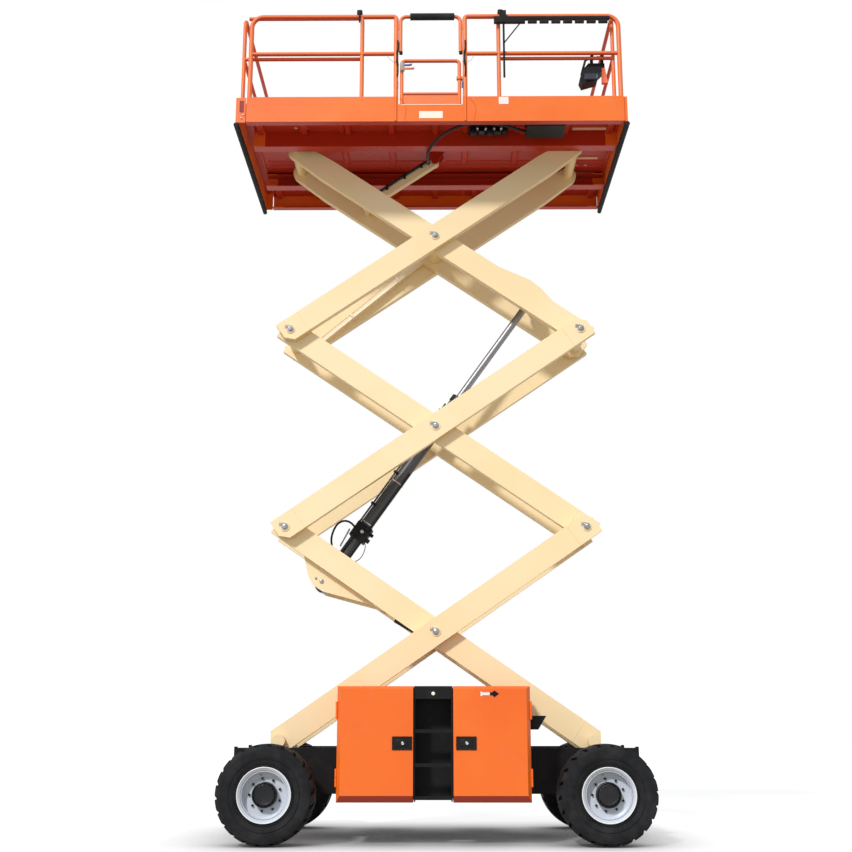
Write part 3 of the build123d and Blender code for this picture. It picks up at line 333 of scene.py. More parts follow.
def add_bump(tree, shader, height, strength, distance):
    """Feeds a height into the shader's normal, distance metres deep."""
    bump = tree.nodes.new("ShaderNodeBump")
    bump.inputs["Strength"].default_value = strength
    bump.inputs["Distance"].default_value = distance
    tree.links.new(height, bump.inputs["Height"])
    tree.links.new(bump.outputs["Normal"], shader.inputs["Normal"])


def painted(name, paint, faded, under=None, dust=(0.45, 0.42, 0.38), amount=0.12, gloss=0.32, peel=0.15,
            shine=0.5, inside=None):
    """Painted steel or plastic. Faces that look down, and those inside the given half width, half length and
    height, take the tone under, which paints the shade on them."""
    material, tree, shader = new_material(name)
    shader.inputs["Specular IOR Level"].default_value = shine
    film = use_group(tree, PAINT_FILM, (
        ("Paint", (*paint, 1)), ("Faded", (*faded, 1)), ("Dust", (*dust, 1)),
        ("Dust Amount", amount), ("Gloss Roughness", gloss)))
    tone = film["Color"]
    if under:
        # faces turned down, and those inside the skirt, take the under tone: painted shade
        share = use_group(tree, DOWN_FACING)["Mask"]
        if inside:
            within = use_group(tree, SKIRT_SHADE_MASK, zip(("Half Width", "Half Length", "Below"), inside))
            share = add_math(tree, "MAXIMUM", share, within["Mask"])
        tone = mix_colour(tree, share, tone, (*under, 1))
    tree.links.new(tone, shader.inputs["Base Color"])
    tree.links.new(film["Roughness"], shader.inputs["Roughness"])
    add_bump(tree, shader, film["Height"], peel, 0.0006)
    return material


def bare_metal(name, tone, roughness, worn=(0.2, 0.19, 0.18)):
    """Plated or machined steel with faint handling marks."""
    material, tree, shader = new_material(name, roughness, 1.0)
    place = object_place(tree)
    marks = ramp(tree, noise(tree, place, 30, 5, 0.7), 0.5, 0.8)
    tree.links.new(mix_colour(tree, marks, (*tone, 1), (*worn, 1)), shader.inputs["Base Color"])
    spread = add_math(tree, "MULTIPLY_ADD", noise(tree, place, 90, 2), 0.2, roughness - 0.08)
    tree.links.new(spread, shader.inputs["Roughness"])
    return material


def tyre_rubber(name, centre):
    """Rubber whose ribs run out from the given wheel centre."""
    material, tree, shader = new_material(name, 0.72)
    shader.inputs["Specular IOR Level"].default_value = 0.2
    surface = use_group(tree, TYRE_SURFACE, (
        ("Centre", centre), ("Rubber", (0.008, 0.0085, 0.0095, 1)), ("Bloom", (0.024, 0.024, 0.026, 1))))
    tree.links.new(surface["Color"], shader.inputs["Base Color"])
    add_bump(tree, shader, surface["Height"], 0.5, 0.0015)
    return material


def deck_plate(name, tone, under):
    """Bare chequered plate above; below, the painted sheet in the dark under tone, which is painted shade as
    well as the sheet's paint.
    """
    material, tree, shader = new_material(name, 0.45, 0.6)
    marks = ramp(tree, noise(tree, object_place(tree), 6, 5, 0.7), 0.45, 0.75)
    dull = tuple(c * 0.7 for c in tone)
    below = use_group(tree, DOWN_FACING)["Mask"]
    plate = mix_colour(tree, marks, (*tone, 1), (*dull, 1))
    tree.links.new(mix_colour(tree, below, plate, (*under, 1)), shader.inputs["Base Color"])
    tree.links.new(add_math(tree, "MULTIPLY_ADD", below, -0.6, 0.6), shader.inputs["Metallic"])
    tread = use_group(tree, DECK_TREAD, (("Pitch", 90),))
    add_bump(tree, shader, tread["Height"], 0.8, 0.002)
    return material


# Dark red that paints the shade on the platform's underside over its orange paint.
UNDER_SHADE_TONE = (0.46, 0.026, 0.007)
# The under tones of these paints are painted shade on the faces that look down.
ORANGE = painted("cabinet_orange", (0.83, 0.130, 0.006), (0.87, 0.160, 0.010), under=(0.40, 0.03, 0.006),
                 amount=0.05)
FASCIA = painted("platform_orange", (0.84, 0.145, 0.012), (0.87, 0.185, 0.024), under=UNDER_SHADE_TONE, amount=0.06,
                 shine=0.4)
# Inside the skirt the frame also takes the under tone, a painted shade.
FRAME_ORANGE = painted("platform_frame_orange", (0.84, 0.145, 0.012), (0.87, 0.185, 0.024), under=UNDER_SHADE_TONE,
                       amount=0.06, shine=0.35, inside=SKIRT)
RAIL = painted("rail_orange", (0.82, 0.165, 0.030), (0.84, 0.215, 0.055), under=(0.50, 0.055, 0.012),
               gloss=0.38)
CREAM = painted("arm_cream", (0.89, 0.70, 0.40), (0.92, 0.745, 0.46), under=(0.80, 0.57, 0.24), amount=0.03)
BLACK = painted("frame_black", (0.009, 0.009, 0.010), (0.016, 0.015, 0.016), gloss=0.34, amount=0.03,
                shine=0.10)
CARBON = painted("moulded_black", (0.008, 0.008, 0.009), (0.014, 0.014, 0.015), gloss=0.45, peel=0.4,
                 amount=0.03, shine=0.15)
FOAM = painted("foam_black", (0.011, 0.0115, 0.013), (0.020, 0.020, 0.022), gloss=0.75, peel=0.9, amount=0.05,
               shine=0.25)
HOSE = painted("hose_black", (0.010, 0.010, 0.011), (0.018, 0.018, 0.018), gloss=0.5, peel=0.3, amount=0.05,
               shine=0.3)
BARREL = painted("barrel_grey", (0.040, 0.041, 0.043), (0.060, 0.060, 0.062), gloss=0.3, amount=0.08)
RIM = painted("rim_silver", (0.52, 0.57, 0.64), (0.60, 0.64, 0.70), gloss=0.3, amount=0.2)
HUB = painted("hub_black", (0.009, 0.0095, 0.011), (0.018, 0.018, 0.020), gloss=0.35, amount=0.08, shine=0.25)
TANK = painted("tank_grey", (0.05, 0.05, 0.054), (0.075, 0.075, 0.08), gloss=0.5, shine=0.3)
CAST = painted("engine_casting", (0.10, 0.10, 0.11), (0.16, 0.15, 0.15), gloss=0.5, peel=0.8)
WHITE = painted("blank_plate", (0.78, 0.78, 0.76), (0.82, 0.81, 0.79), gloss=0.4)
RED = painted("latch_red", (0.55, 0.03, 0.02), (0.6, 0.05, 0.03))
STEEL = bare_metal("plated_steel", (0.42, 0.41, 0.40), 0.36)
CHROME = bare_metal("rod_chrome", (0.29, 0.29, 0.30), 0.44, (0.22, 0.22, 0.22))
TREAD = deck_plate("deck_tread_plate", (0.42, 0.42, 0.42), UNDER_SHADE_TONE)
STEEL_DARK = bare_metal("blackened_steel", (0.035, 0.035, 0.038), 0.38, (0.09, 0.08, 0.075))
BRASS = bare_metal("valve_brass", (0.55, 0.42, 0.24), 0.35, (0.3, 0.25, 0.18))
# A lighter copy of the rim's silver that paints the highlight on the rim's lip.
RIM_HIGHLIGHT = painted("rim_highlight_silver", (0.80, 0.82, 0.85), (0.86, 0.87, 0.88), gloss=0.2, amount=0.08)
GUARD = painted("guard_pale", (0.55, 0.64, 0.70), (0.66, 0.73, 0.78), gloss=0.25)
RUST_BAND = painted("band_tan", (0.55, 0.38, 0.32), (0.62, 0.46, 0.40))
LENS = painted("lamp_lens", (0.80, 0.78, 0.62), (0.86, 0.84, 0.70), gloss=0.12, amount=0.0)
CREAM_PLATE = painted("plate_cream", (0.86, 0.80, 0.68), (0.88, 0.83, 0.72), gloss=0.4)
LATCH_GREY = painted("latch_grey", (0.30, 0.27, 0.25), (0.38, 0.34, 0.30), gloss=0.4)
LEVER_BLUE = painted("lever_blue", (0.05, 0.08, 0.22), (0.08, 0.11, 0.26), gloss=0.35)
LEVER_BROWN = painted("lever_brown", (0.50, 0.13, 0.06), (0.55, 0.18, 0.09), gloss=0.4)
# Dark red that paints the shade inside the corner slot.
SLOT_SHADE_RED = painted("slot_shade_red", (0.28, 0.015, 0.008), (0.33, 0.02, 0.01), gloss=0.5)
BRACKET_RED = painted("bracket_red", (0.66, 0.10, 0.02), (0.70, 0.14, 0.04), gloss=0.4)
# Darker orange that paints the shadow line along the fascia's raised seams.
SEAM_SHADOW_ORANGE = painted("seam_shadow", (0.66, 0.085, 0.012), (0.70, 0.105, 0.018), gloss=0.5)
SILL_PALE = painted("sill_pale", (0.90, 0.55, 0.36), (0.92, 0.60, 0.42), gloss=0.4)
LANYARD = painted("lanyard_tan", (0.55, 0.40, 0.30), (0.6, 0.46, 0.36), gloss=0.5)
# The underside's orange darkened into painted shade.
UNDER_SHADE_RED = painted("underside_shade_red", UNDER_SHADE_TONE, (0.54, 0.036, 0.010), gloss=0.42, amount=0.04, shine=0.3)
# Pale tone that paints the light caught on flanges and rollers under the deck: painted highlights.
STRIP_HIGHLIGHT = painted("strip_painted_highlight", (0.78, 0.40, 0.26), (0.82, 0.48, 0.34), gloss=0.35)
CONSOLE_DARK = painted("console_dark", (0.010, 0.015, 0.028), (0.016, 0.024, 0.040), gloss=0.35)
TRAY_CREAM = painted("tray_cream", (0.90, 0.76, 0.52), (0.93, 0.80, 0.58), gloss=0.4, amount=0.04)


def paint_frame():
    """Gives every carried-over piece of the frame its finish."""
    finishes = {
        ORANGE: ["cabinets"] + [f"door_{corner}" for corner in CORNERS],
        FASCIA: ["extension_deck_rear", "extension_deck_front"],
        FRAME_ORANGE: ["platform_frame"],
        RAIL: ["guard_rails", "entry_gate", "extension_rails_rear", "extension_rails_front"],
        CREAM: [f"{row}_arms_{level}" for row in ("inner", "outer") for level in (1, 2, 3)]
        + ["centring_link_lower", "centring_link_upper"],
        BLACK: ["chassis_frame", "rear_axle", "front_axle", "steering_knuckle_near", "steering_knuckle_far",
                "ladders", "slide_strips", "link_stand", "tie_downs"],
        BARREL: ["lift_cylinder_barrel"],
        CARBON: ["cable_track", "junction_box", "control_box"],
        FOAM: ["hoop_grip", "bumper_rear", "bumper_front"],
        RIM: [f"wheel_{corner}" for corner in CORNERS],
        TANK: ["fluid_tanks", "battery_box"],
        CAST: ["engine_block"],
        STEEL: ["tie_rod"],
        CHROME: ["lift_cylinder_rod"],
        TREAD: ["platform_deck"],
    }
    for corner in CORNERS:
        low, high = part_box(f"tyre_{corner}")
        finishes[tyre_rubber(f"rubber_{corner}", (low + high) / 2)] = [f"tyre_{corner}"]
    for material, names in finishes.items():
        for name in names:
            node = frame["nodes"][name]
            node.data.materials.clear()
            node.data.materials.append(material)


# ---------------------------------------------------------------- modelling helpers
def start(name, material, body):
    """Names the new primitive, gives it its finish and notes the body it rides on."""
    piece = bpy.context.object
    piece.name = name
    piece.data.name = name
    piece.data.materials.append(material)
    piece["ride_on"] = body
    return piece


def clear_selection():
    bpy.ops.object.select_all(action="DESELECT")


def select_only(piece):
    """Makes the piece the only one that an operator acts on."""
    clear_selection()
    piece.select_set(True)
    bpy.context.view_layer.objects.active = piece


def add_cylinder(name, material, body, centre, axis, radius, depth, sides=32):
    """A capped cylinder whose axis points along the given direction."""
    clear_selection()
    turn = Vector(axis).to_track_quat("Z", "Y").to_euler()
    bpy.ops.mesh.primitive_cylinder_add(vertices=sides, radius=radius, depth=depth, location=centre,
                                        rotation=turn)
    piece = start(name, material, body)
    apply_place(piece)
    return piece


def add_box(name, material, body, low, high):
    """A box between its lowest and highest corners."""
    clear_selection()
    low, high = Vector(low), Vector(high)
    bpy.ops.mesh.primitive_cube_add(size=1, location=(low + high) / 2)
    piece = start(name, material, body)
    piece.scale = high - low
    apply_place(piece)
    return piece


def apply_place(piece):
    """Bakes place, turn and scale into the mesh, so that the object sits at the origin."""
    select_only(piece)
    bpy.ops.object.transform_apply(location=True, rotation=True, scale=True)


def pick_faces(piece, test):
    """Enters edit mode with only the faces selected that pass the test."""
    select_only(piece)
    bpy.ops.object.mode_set(mode="EDIT")
    bpy.ops.mesh.select_mode(type="FACE")
    bpy.ops.mesh.select_all(action="DESELECT")
    bpy.ops.object.mode_set(mode="OBJECT")
    for face in piece.data.polygons:
        face.select = bool(test(face))
    bpy.ops.object.mode_set(mode="EDIT")


def close_edit():
    bpy.ops.object.mode_set(mode="OBJECT")


def facing(direction, limit=0.9):
    """A test for the faces that look along the direction."""
    direction = Vector(direction)
    return lambda face: face.normal.dot(direction) > limit


def both_ends(face):
    """True for the two caps of an upright cylinder."""
    return abs(face.normal.z) > 0.9


def inset_push(piece, test, inset, push):
    """Insets the picked faces and pushes the new faces along their normal."""
    pick_faces(piece, test)
    bpy.ops.mesh.inset(thickness=inset, use_boundary=True)
    if push:
        bpy.ops.transform.shrink_fatten(value=push)
    close_edit()


def taper(piece, test, scale, centre):
    """Scales the picked faces about a point."""
    pick_faces(piece, test)
    bpy.ops.transform.resize(value=scale, center_override=centre)
    close_edit()


def slide(piece, test, move):
    """Moves the picked faces."""
    pick_faces(piece, test)
    bpy.ops.transform.translate(value=move)
    close_edit()


def round_edges(piece, width, segments=2, angle=35):
    """Bevels the edges sharper than the angle and smooths the rest."""
    select_only(piece)
    bevel = piece.modifiers.new("soft_edges", "BEVEL")
    bevel.width = width
    bevel.segments = segments
    bevel.limit_method = "ANGLE"
    bevel.angle_limit = radians(angle)
    bpy.ops.object.modifier_apply(modifier=bevel.name)
    bpy.ops.object.shade_smooth_by_angle(angle=radians(32))


def copy_to(piece, name, transform, body):
    """A copy with its own mesh, moved by the matrix."""
    twin = piece.copy()
    twin.data = piece.data.copy()
    twin.name = name
    twin.data.name = name
    bpy.context.scene.collection.objects.link(twin)
    twin.data.transform(transform)
    twin["ride_on"] = body
    return twin


def join(name, pieces):
    """Joins pieces of one finish and body into the first."""
    clear_selection()
    for piece in pieces:
        piece.select_set(True)
    bpy.context.view_layer.objects.active = pieces[0]
    bpy.ops.object.join()
    pieces[0].name = name
    pieces[0].data.name = name
    return pieces[0]


def ride_all():
    """Every new piece rides on its body."""
    for piece in list(bpy.context.scene.objects):
        if "ride_on" in piece:
            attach(piece, piece["ride_on"])


# ---------------------------------------------------------------- wheels
def wheel_bolts(centre, side, radius, count, bolt_radius, face, height, name, material, body, phase=0.0):
    """A ring of hexagon screws on a wheel, one modelled and the rest copied."""
    first = add_cylinder(name, material, body, (centre.x + radius, side * (face + height / 2), centre.z),
                         (0, side, 0), bolt_radius, height, 6)
    inset_push(first, facing((0, side, 0)), bolt_radius * 0.3, -height * 0.25)
    ring = [first]
    to_hub = Matrix.Translation(centre)
    for i in range(1, count):
        turn = to_hub @ Matrix.Rotation(2 * pi * i / count, 4, "Y") @ to_hub.inverted()
        ring.append(copy_to(first, f"{name}_{i}", turn, body))
    whole = join(name, ring)
    whole.data.transform(to_hub @ Matrix.Rotation(phase, 4, "Y") @ to_hub.inverted())
    return whole


def drive_hub(centre, side, face, name, body):
    """Black planetary hub: stepped drum, recessed cover and two rings of small screws."""
    hub = add_cylinder(name, HUB, body, (centre.x, side * (face + 0.024), centre.z), (0, side, 0),
                       0.084, 0.05, 48)
    inset_push(hub, facing((0, side, 0)), 0.007, 0.004)
    inset_push(hub, facing((0, side, 0)), 0.017, 0)
    inset_push(hub, facing((0, side, 0)), 0.004, -0.014)
    inset_push(hub, facing((0, side, 0)), 0.022, 0)
    inset_push(hub, facing((0, side, 0)), 0.003, 0.010)
    inset_push(hub, facing((0, side, 0)), 0.012, -0.003)
    round_edges(hub, 0.0015)
    wheel_bolts(centre, side, 0.0690, 16, 0.0046, face + 0.053, 0.005, f"{name}_rim_screws", STEEL_DARK, body)
    wheel_bolts(centre, side, 0.046, 8, 0.0048, face + 0.039, 0.006, f"{name}_cover_screws", STEEL, body, 0.2)


def add_ring(name, material, body, centre, y, radius, thick, sides):
    """A slim round ring about the wheel's axis."""
    clear_selection()
    bpy.ops.mesh.primitive_torus_add(major_radius=radius, minor_radius=thick, major_segments=96,
                                     minor_segments=sides, location=(centre.x, y, centre.z),
                                     rotation=(pi / 2, 0, 0))
    apply_place(start(name, material, body))
    bpy.ops.object.shade_smooth()


def rim_ring(centre, side, face, name, body):
    """Outer lip in a lighter silver that paints the light it catches, a painted highlight, and the raised
    step inside it.
    """
    add_ring(name, RIM_HIGHLIGHT, body, centre, side * face, 0.1785, 0.0040, 10)
    add_ring(f"{name}_step", RIM, body, centre, side * (face - 0.018), 0.153, 0.0032, 8)


def sidewall_rings(centre, side, face, name, body, material):
    """Raised mould lines on the tyre's sidewall."""
    for i, (radius, depth, thick) in enumerate(((0.191, 0.008, 0.0026), (0.236, 0.0005, 0.0020),
                                                (0.286, 0.0015, 0.0024))):
        add_ring(f"{name}_{i + 1}", material, body, centre, side * (face - depth), radius, thick, 6)


def valve_stem(centre, side, face, name, body):
    """Brass tyre valve that stands out beside the hub."""
    stem = add_cylinder(name, BRASS, body, (centre.x - 0.029, side * (face + 0.012), centre.z + 0.127),
                        (-0.1, side, -0.25), 0.0042, 0.042, 12)
    inset_push(stem, facing((-0.1, side, -0.25)), 0.0012, 0.004)


def dress_wheels():
    """Nuts, hub, rim rings, sidewall rings and valve of every wheel."""
    for end in ("rear", "front"):
        for label, side in SIDES:
            body = f"wheel_{end}_{label}"
            low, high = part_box(f"tyre_{end}_{label}")
            centre = (low + high) / 2
            outer = abs(low.y if side == NEAR else high.y)
            centre.y = 0
            face = outer - DISC_DEPTH
            wheel_bolts(centre, side, 0.106, 9, 0.0085, face, 0.014, f"wheel_nuts_{end}_{label}", STEEL_DARK,
                        body, 0.35)
            drive_hub(centre, side, face, f"drive_hub_{end}_{label}", body)
            rim_ring(centre, side, outer - LIP_DEPTH, f"rim_lip_{end}_{label}", body)
            sidewall_rings(centre, side, outer, f"sidewall_ring_{end}_{label}", body,
                           frame["nodes"][f"tyre_{end}_{label}"].data.materials[0])
            valve_stem(centre, side, face, f"valve_stem_{end}_{label}", body)


# ---------------------------------------------------------------- arm pins and arm trim
def pin_set():
    """Washer, hexagon screw and keeper screw of an arm pin, facing the near side at the origin."""
    washer = add_cylinder("pin_washer", STEEL, "chassis", (0, -0.0015, 0), (0, -1, 0), 0.026, 0.003, 32)
    inset_push(washer, facing((0, -1, 0)), 0.002, 0.001)
    head = add_cylinder("pin_screw", STEEL, "chassis", (0, -0.009, 0), (0, -1, 0), 0.0155, 0.012, 6)
    inset_push(head, facing((0, -1, 0)), 0.004, 0.0015)
    keeper = add_cylinder("pin_keeper", STEEL, "chassis", (-0.030, -0.001, 0.018), (0, -1, 0),
                          0.009, 0.010, 6)
    inset_push(keeper, facing((0, -1, 0)), 0.002, 0.001)
    tab = add_box("pin_tab", STEEL, "chassis", (-0.042, -0.002, 0.006), (-0.006, 0, 0.030))
    inset_push(tab, facing((0, -1, 0)), 0.002, 0.001)
    return join("pin_set", [washer, head, keeper, tab])


def dress_pins():
    """A pin set on both sides of every pin that the outer arms carry."""
    first = pin_set()
    spread, low_pin = JOINT["fold_inner_2"].x, JOINT["lift"].z
    rise = JOINT["fold_inner_3"].z - JOINT["fold_inner_2"].z
    face = -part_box("outer_arms_2")[0].y
    places = []
    for level in (1, 2, 3):
        places.append((level, 0, JOINT[f"fold_outer_{level}"].z))
        if level > 1:
            places.append((level, -spread, low_pin + (level - 1) * rise))
        if level < 3:
            places.append((level, spread, low_pin + level * rise))
    for i, (level, x, z) in enumerate(places):
        near = Matrix.Translation((x, -face, z))
        far = Matrix.Translation((x, face, z)) @ Matrix.Rotation(pi, 4, "Z")
        copy_to(first, f"pin_set_near_{i}", near, f"outer_{level}")
        copy_to(first, f"pin_set_far_{i}", far, f"outer_{level}")
    bpy.data.objects.remove(first)


def arm_beads():
    """Weld beads across the arm ends, one modelled and the rest copied along the arms."""
    clear_selection()
    bead = add_cylinder("weld_bead", CREAM, "chassis", (0, 0, 0), (0, 0, 1), 0.0022, 0.168, 10)
    inset_push(bead, both_ends, 0.0006, 0.001)
    rise = JOINT["fold_inner_3"].z - JOINT["fold_inner_2"].z
    slope = atan(rise / (2 * JOINT["fold_inner_2"].x))
    half = JOINT["fold_inner_2"].x / cos(slope)
    for level in (1, 2, 3):
        middle = JOINT[f"fold_outer_{level}"]
        for row, tilt, face in (("outer", slope, OUTER_ARM_Y), ("inner", -slope, INNER_ARM_Y)):
            along = Vector((cos(tilt), 0, sin(tilt)))
            for end in (-1, 1):
                if (level, end) in ((1, -1), (3, 1)):   # the folded outer arms have no room there
                    continue
                spot = middle + along * end * (half - 0.120)
                for side in (NEAR, FAR):
                    place = Matrix.Translation((spot.x, side * face, spot.z)) @ Matrix.Rotation(-tilt, 4, "Y")
                    copy_to(bead, f"weld_bead_{row}_{level}_{end + 2}_{side + 2}", place, f"{row}_{level}")
    bpy.data.objects.remove(bead)


def cable_tray():
    """Pressed tray that carries the lines up the far outer arm of the top level, with a hooked upper end."""
    body = "outer_3"
    low, high = Vector((-0.934, 0.200, 3.815)), Vector((-0.088, 0.200, 4.530))
    along = (high - low).normalized()
    place = Matrix.Translation(low) @ Matrix((along, Y_AXIS, along.cross(Y_AXIS))).transposed().to_4x4()
    length = (high - low).length
    tray = add_box("cable_tray", TRAY_CREAM, body, (0, -0.016, -0.020), (length, 0.030, 0.020))
    inset_push(tray, facing((0, -1, 0)), 0.005, -0.006)
    pick_faces(tray, facing((1, 0, 0)))
    bpy.ops.mesh.extrude_region_move(TRANSFORM_OT_translate={"value": (0.030, 0, -0.018)})
    bpy.ops.transform.resize(value=(1, 1, 0.55), center_override=(length, 0, -0.020))
    close_edit()
    round_edges(tray, 0.002, 1)
    tray.data.transform(place)
    for i, s in enumerate((0.30, 0.74)):
        clip = add_box(f"tray_clip_{i + 1}", TRAY_CREAM, body, (length * s - 0.009, -0.022, -0.024),
                       (length * s + 0.009, 0.030, 0.024))
        inset_push(clip, facing((0, -1, 0)), 0.005, 0.002)
        round_edges(clip, 0.002, 1)
        clip.data.transform(place)


def arm_small_parts():
    """Bolts of the cylinder's lower bracket and a boot for the lines under it."""
    for name, x, z, r in (("bracket_pin_bolt", -0.853, 1.824, 0.017), ("bracket_bolt", -0.896, 1.847, 0.009)):
        bolt = add_cylinder(name, STEEL, "inner_1", (x, -0.180, z), (0, -1, 0), r, 0.012, 6)
        inset_push(bolt, facing((0, -1, 0)), r * 0.35, 0.003)
        round_edges(bolt, 0.001, 1)
    start_at, end_at = Vector((-0.303, -0.172, 1.538)), Vector((-0.167, -0.172, 1.448))
    reach = (end_at - start_at).length
    boot = add_cylinder("line_boot", HOSE, "inner_1", (0, 0, reach / 2), (0, 0, 1), 0.020, reach, 24)
    taper(boot, facing((0, 0, 1)), (0.45, 0.45, 1), (0, 0, reach))
    inset_push(boot, both_ends, 0.003, -0.002)
    round_edges(boot, 0.002)
    turn = (end_at - start_at).to_track_quat("Z", "Y").to_matrix().to_4x4()
    boot.data.transform(Matrix.Translation(start_at) @ turn)


# ---------------------------------------------------------------- lift cylinder
def dress_cylinder():
    """Valve block, ports, bands and lines on the barrel. Here x points to its lower side and z along it."""
    stroke = next(joint for joint in frame["joints"] if joint["name"] == "cylinder_stroke")
    along = Vector(stroke["axis"]).normalized()
    turn = Matrix((Vector((along.z, 0, -along.x)), Y_AXIS, along)).transposed().to_4x4()
    place = Matrix.Translation(JOINT["cylinder_swing"]) @ turn
    body = "cylinder_barrel"

    def local_box(name, material, low, high, inset=0.004):
        piece = add_box(name, material, body, low, high)
        inset_push(piece, facing((0, -1, 0)), inset, 0.002)
        round_edges(piece, 0.003)
        piece.data.transform(place)

    local_box("valve_block", CARBON, (-0.064, -0.062, 0.430), (0.066, 0.062, 0.560))
    for i, (s, r) in enumerate(((0.468, 0.017), (0.520, 0.013))):
        plug = add_cylinder(f"valve_plug_{i + 1}", CARBON if i else STEEL_DARK, body, (0.080, -0.022, s),
                            (1, 0, 0), r, 0.030, 6)
        inset_push(plug, facing((1, 0, 0)), r * 0.3, -0.003)
        plug.data.transform(place)
    for i, (n, s) in enumerate(((-0.024, 0.452), (0.012, 0.498), (0.034, 0.540))):
        coil = add_cylinder(f"valve_cartridge_{i + 1}", STEEL if i == 1 else CARBON, body, (n, -0.072, s),
                            (0, -1, 0), 0.014, 0.026, 20)
        inset_push(coil, facing((0, -1, 0)), 0.004, 0.003)
        coil.data.transform(place)
    plate = add_box("valve_guard", GUARD, body, (-0.074, -0.026, 0.318), (-0.066, 0.030, 0.470))
    slide(plate, facing((0, 0, 1)), (-0.020, 0, 0))
    inset_push(plate, facing((-1, 0, 0), 0.7), 0.004, -0.0015)
    round_edges(plate, 0.002)
    plate.data.transform(place)
    for i, (s, r, depth, finish) in enumerate((
            (0.578, 0.0535, 0.010, STEEL), (0.968, 0.0535, 0.010, RUST_BAND),
            (1.775, 0.0560, 0.050, CARBON))):
        band = add_cylinder(f"barrel_band_{i + 1}", finish, body, (0, 0, s), (0, 0, 1), r, depth, 48)
        inset_push(band, both_ends, 0.0025, 0)
        round_edges(band, 0.001, 1)
        band.data.transform(place)
    for i, (n, y, s0, s1, r) in enumerate((
            (-0.058, -0.020, 0.545, 1.700, 0.0065), (-0.052, -0.040, 0.545, 1.260, 0.005),
            (0.046, -0.040, 0.240, 1.080, 0.006), (-0.030, -0.056, 0.200, 0.470, 0.010),
            (0.034, -0.050, 0.180, 0.450, 0.010))):
        tube = add_cylinder(f"barrel_line_{i + 1}", STEEL_DARK if i == 1 else HOSE, body,
                            (n, y, (s0 + s1) / 2), (0, 0, 1), r, s1 - s0, 14)
        inset_push(tube, both_ends, r * 0.3, 0.002)
        bpy.ops.object.shade_smooth_by_angle(angle=radians(40))
        tube.data.transform(place)
    for i, s in enumerate((0.72, 1.02, 1.32, 1.62)):
        local_box(f"line_clamp_{i + 1}", CARBON, (-0.070, -0.052, s), (-0.036, -0.006, s + 0.018), 0.002)
    return place


def hose(name, body, points, diameter, material):
    """A hose between two fittings, as a smooth curve."""
    curve = bpy.data.curves.new(name, "CURVE")
    curve.dimensions = "3D"
    curve.bevel_depth = diameter / 2
    curve.bevel_resolution = 3
    curve.resolution_u = 10
    spline = curve.splines.new("NURBS")
    spline.points.add(len(points) - 1)
    for point, place in zip(spline.points, points):
        point.co = (*place, 1)
    spline.order_u = 3
    spline.use_endpoint_u = True
    curve.materials.append(material)
    piece = bpy.data.objects.new(name, curve)
    bpy.context.scene.collection.objects.link(piece)
    piece["ride_on"] = body
    bare = bpy.data.objects.new("measure", curve.copy())
    bare.data.bevel_depth = 0
    bpy.context.scene.collection.objects.link(bare)
    bpy.context.view_layer.update()
    line = bpy.data.meshes.new_from_object(bare.evaluated_get(bpy.context.evaluated_depsgraph_get()))
    place = [vertex.co for vertex in line.vertices]
    bpy.data.objects.remove(bare)
    return piece


# ---------------------------------------------------------------- cabinets, ladder and chassis
def latch_box(name, low_x, high_x, low_z, high_z, face, side, body):
    """Recessed paddle latch: a tray with a raised surround, a paddle and a round key lock."""
    y = side * face
    tray = add_box(name, CARBON, body, (low_x, min(y, y + side * 0.007), low_z),
                   (high_x, max(y, y + side * 0.007), high_z))
    inset_push(tray, facing((0, side, 0)), 0.007, 0)
    inset_push(tray, facing((0, side, 0)), 0.002, -0.0045)
    round_edges(tray, 0.0008, 1)
    middle_x, middle_z = (low_x + high_x) / 2, (low_z + high_z) / 2
    paddle = add_box(f"{name}_paddle", CARBON, body,
                     (low_x + 0.026, min(y, y + side * 0.005), middle_z - 0.024),
                     (high_x - 0.026, max(y, y + side * 0.005), middle_z + 0.026))
    inset_push(paddle, facing((0, side, 0)), 0.006, 0.002)
    round_edges(paddle, 0.002)
    lock = add_cylinder(f"{name}_lock", STEEL, body, (middle_x + 0.004, y + side * 0.006, middle_z),
                        (0, side, 0), 0.0105, 0.010, 24)
    inset_push(lock, facing((0, side, 0)), 0.003, 0.0015)
    inset_push(lock, facing((0, side, 0)), 0.004, -0.002)


def arrow_sign(name, body, left, right, z, face, side):
    """Flat two-tone travel arrow: white tail, black head."""
    y = side * (face + 0.0008)
    middle = (left + right) / 2
    for half, start_x, end_x, material in ((0, left, middle, WHITE), (1, middle, right, BLACK)):
        clear_selection()
        bpy.ops.mesh.primitive_plane_add(size=1, location=((start_x + end_x) / 2, y, z),
                                         rotation=(pi / 2, 0, 0 if side < 0 else pi))
        blade = start(f"{name}_{'tail' if half == 0 else 'head'}", material, body)
        blade.scale = (abs(end_x - start_x), 0.030, 1)
        apply_place(blade)
        bpy.ops.object.mode_set(mode="EDIT")
        bpy.ops.mesh.select_all(action="SELECT")
        bpy.ops.mesh.subdivide(number_cuts=3)
        bpy.ops.mesh.select_mode(type="VERT")
        bpy.ops.mesh.select_all(action="DESELECT")
        bpy.ops.object.mode_set(mode="OBJECT")
        tip = end_x if half else start_x
        for vertex in blade.data.vertices:
            away = abs(vertex.co.x - tip) / abs(end_x - start_x)
            if half:
                scale = 1.5 * min(1.0, away / 0.5) if away < 0.52 else 0.62
            else:
                scale = 0.62 if away > 0.25 else 1.1
            vertex.co.z = z + (vertex.co.z - z) * scale
        solid = blade.modifiers.new("film", "SOLIDIFY")
        solid.thickness = 0.0008
        bpy.context.view_layer.objects.active = blade
        bpy.ops.object.modifier_apply(modifier=solid.name)


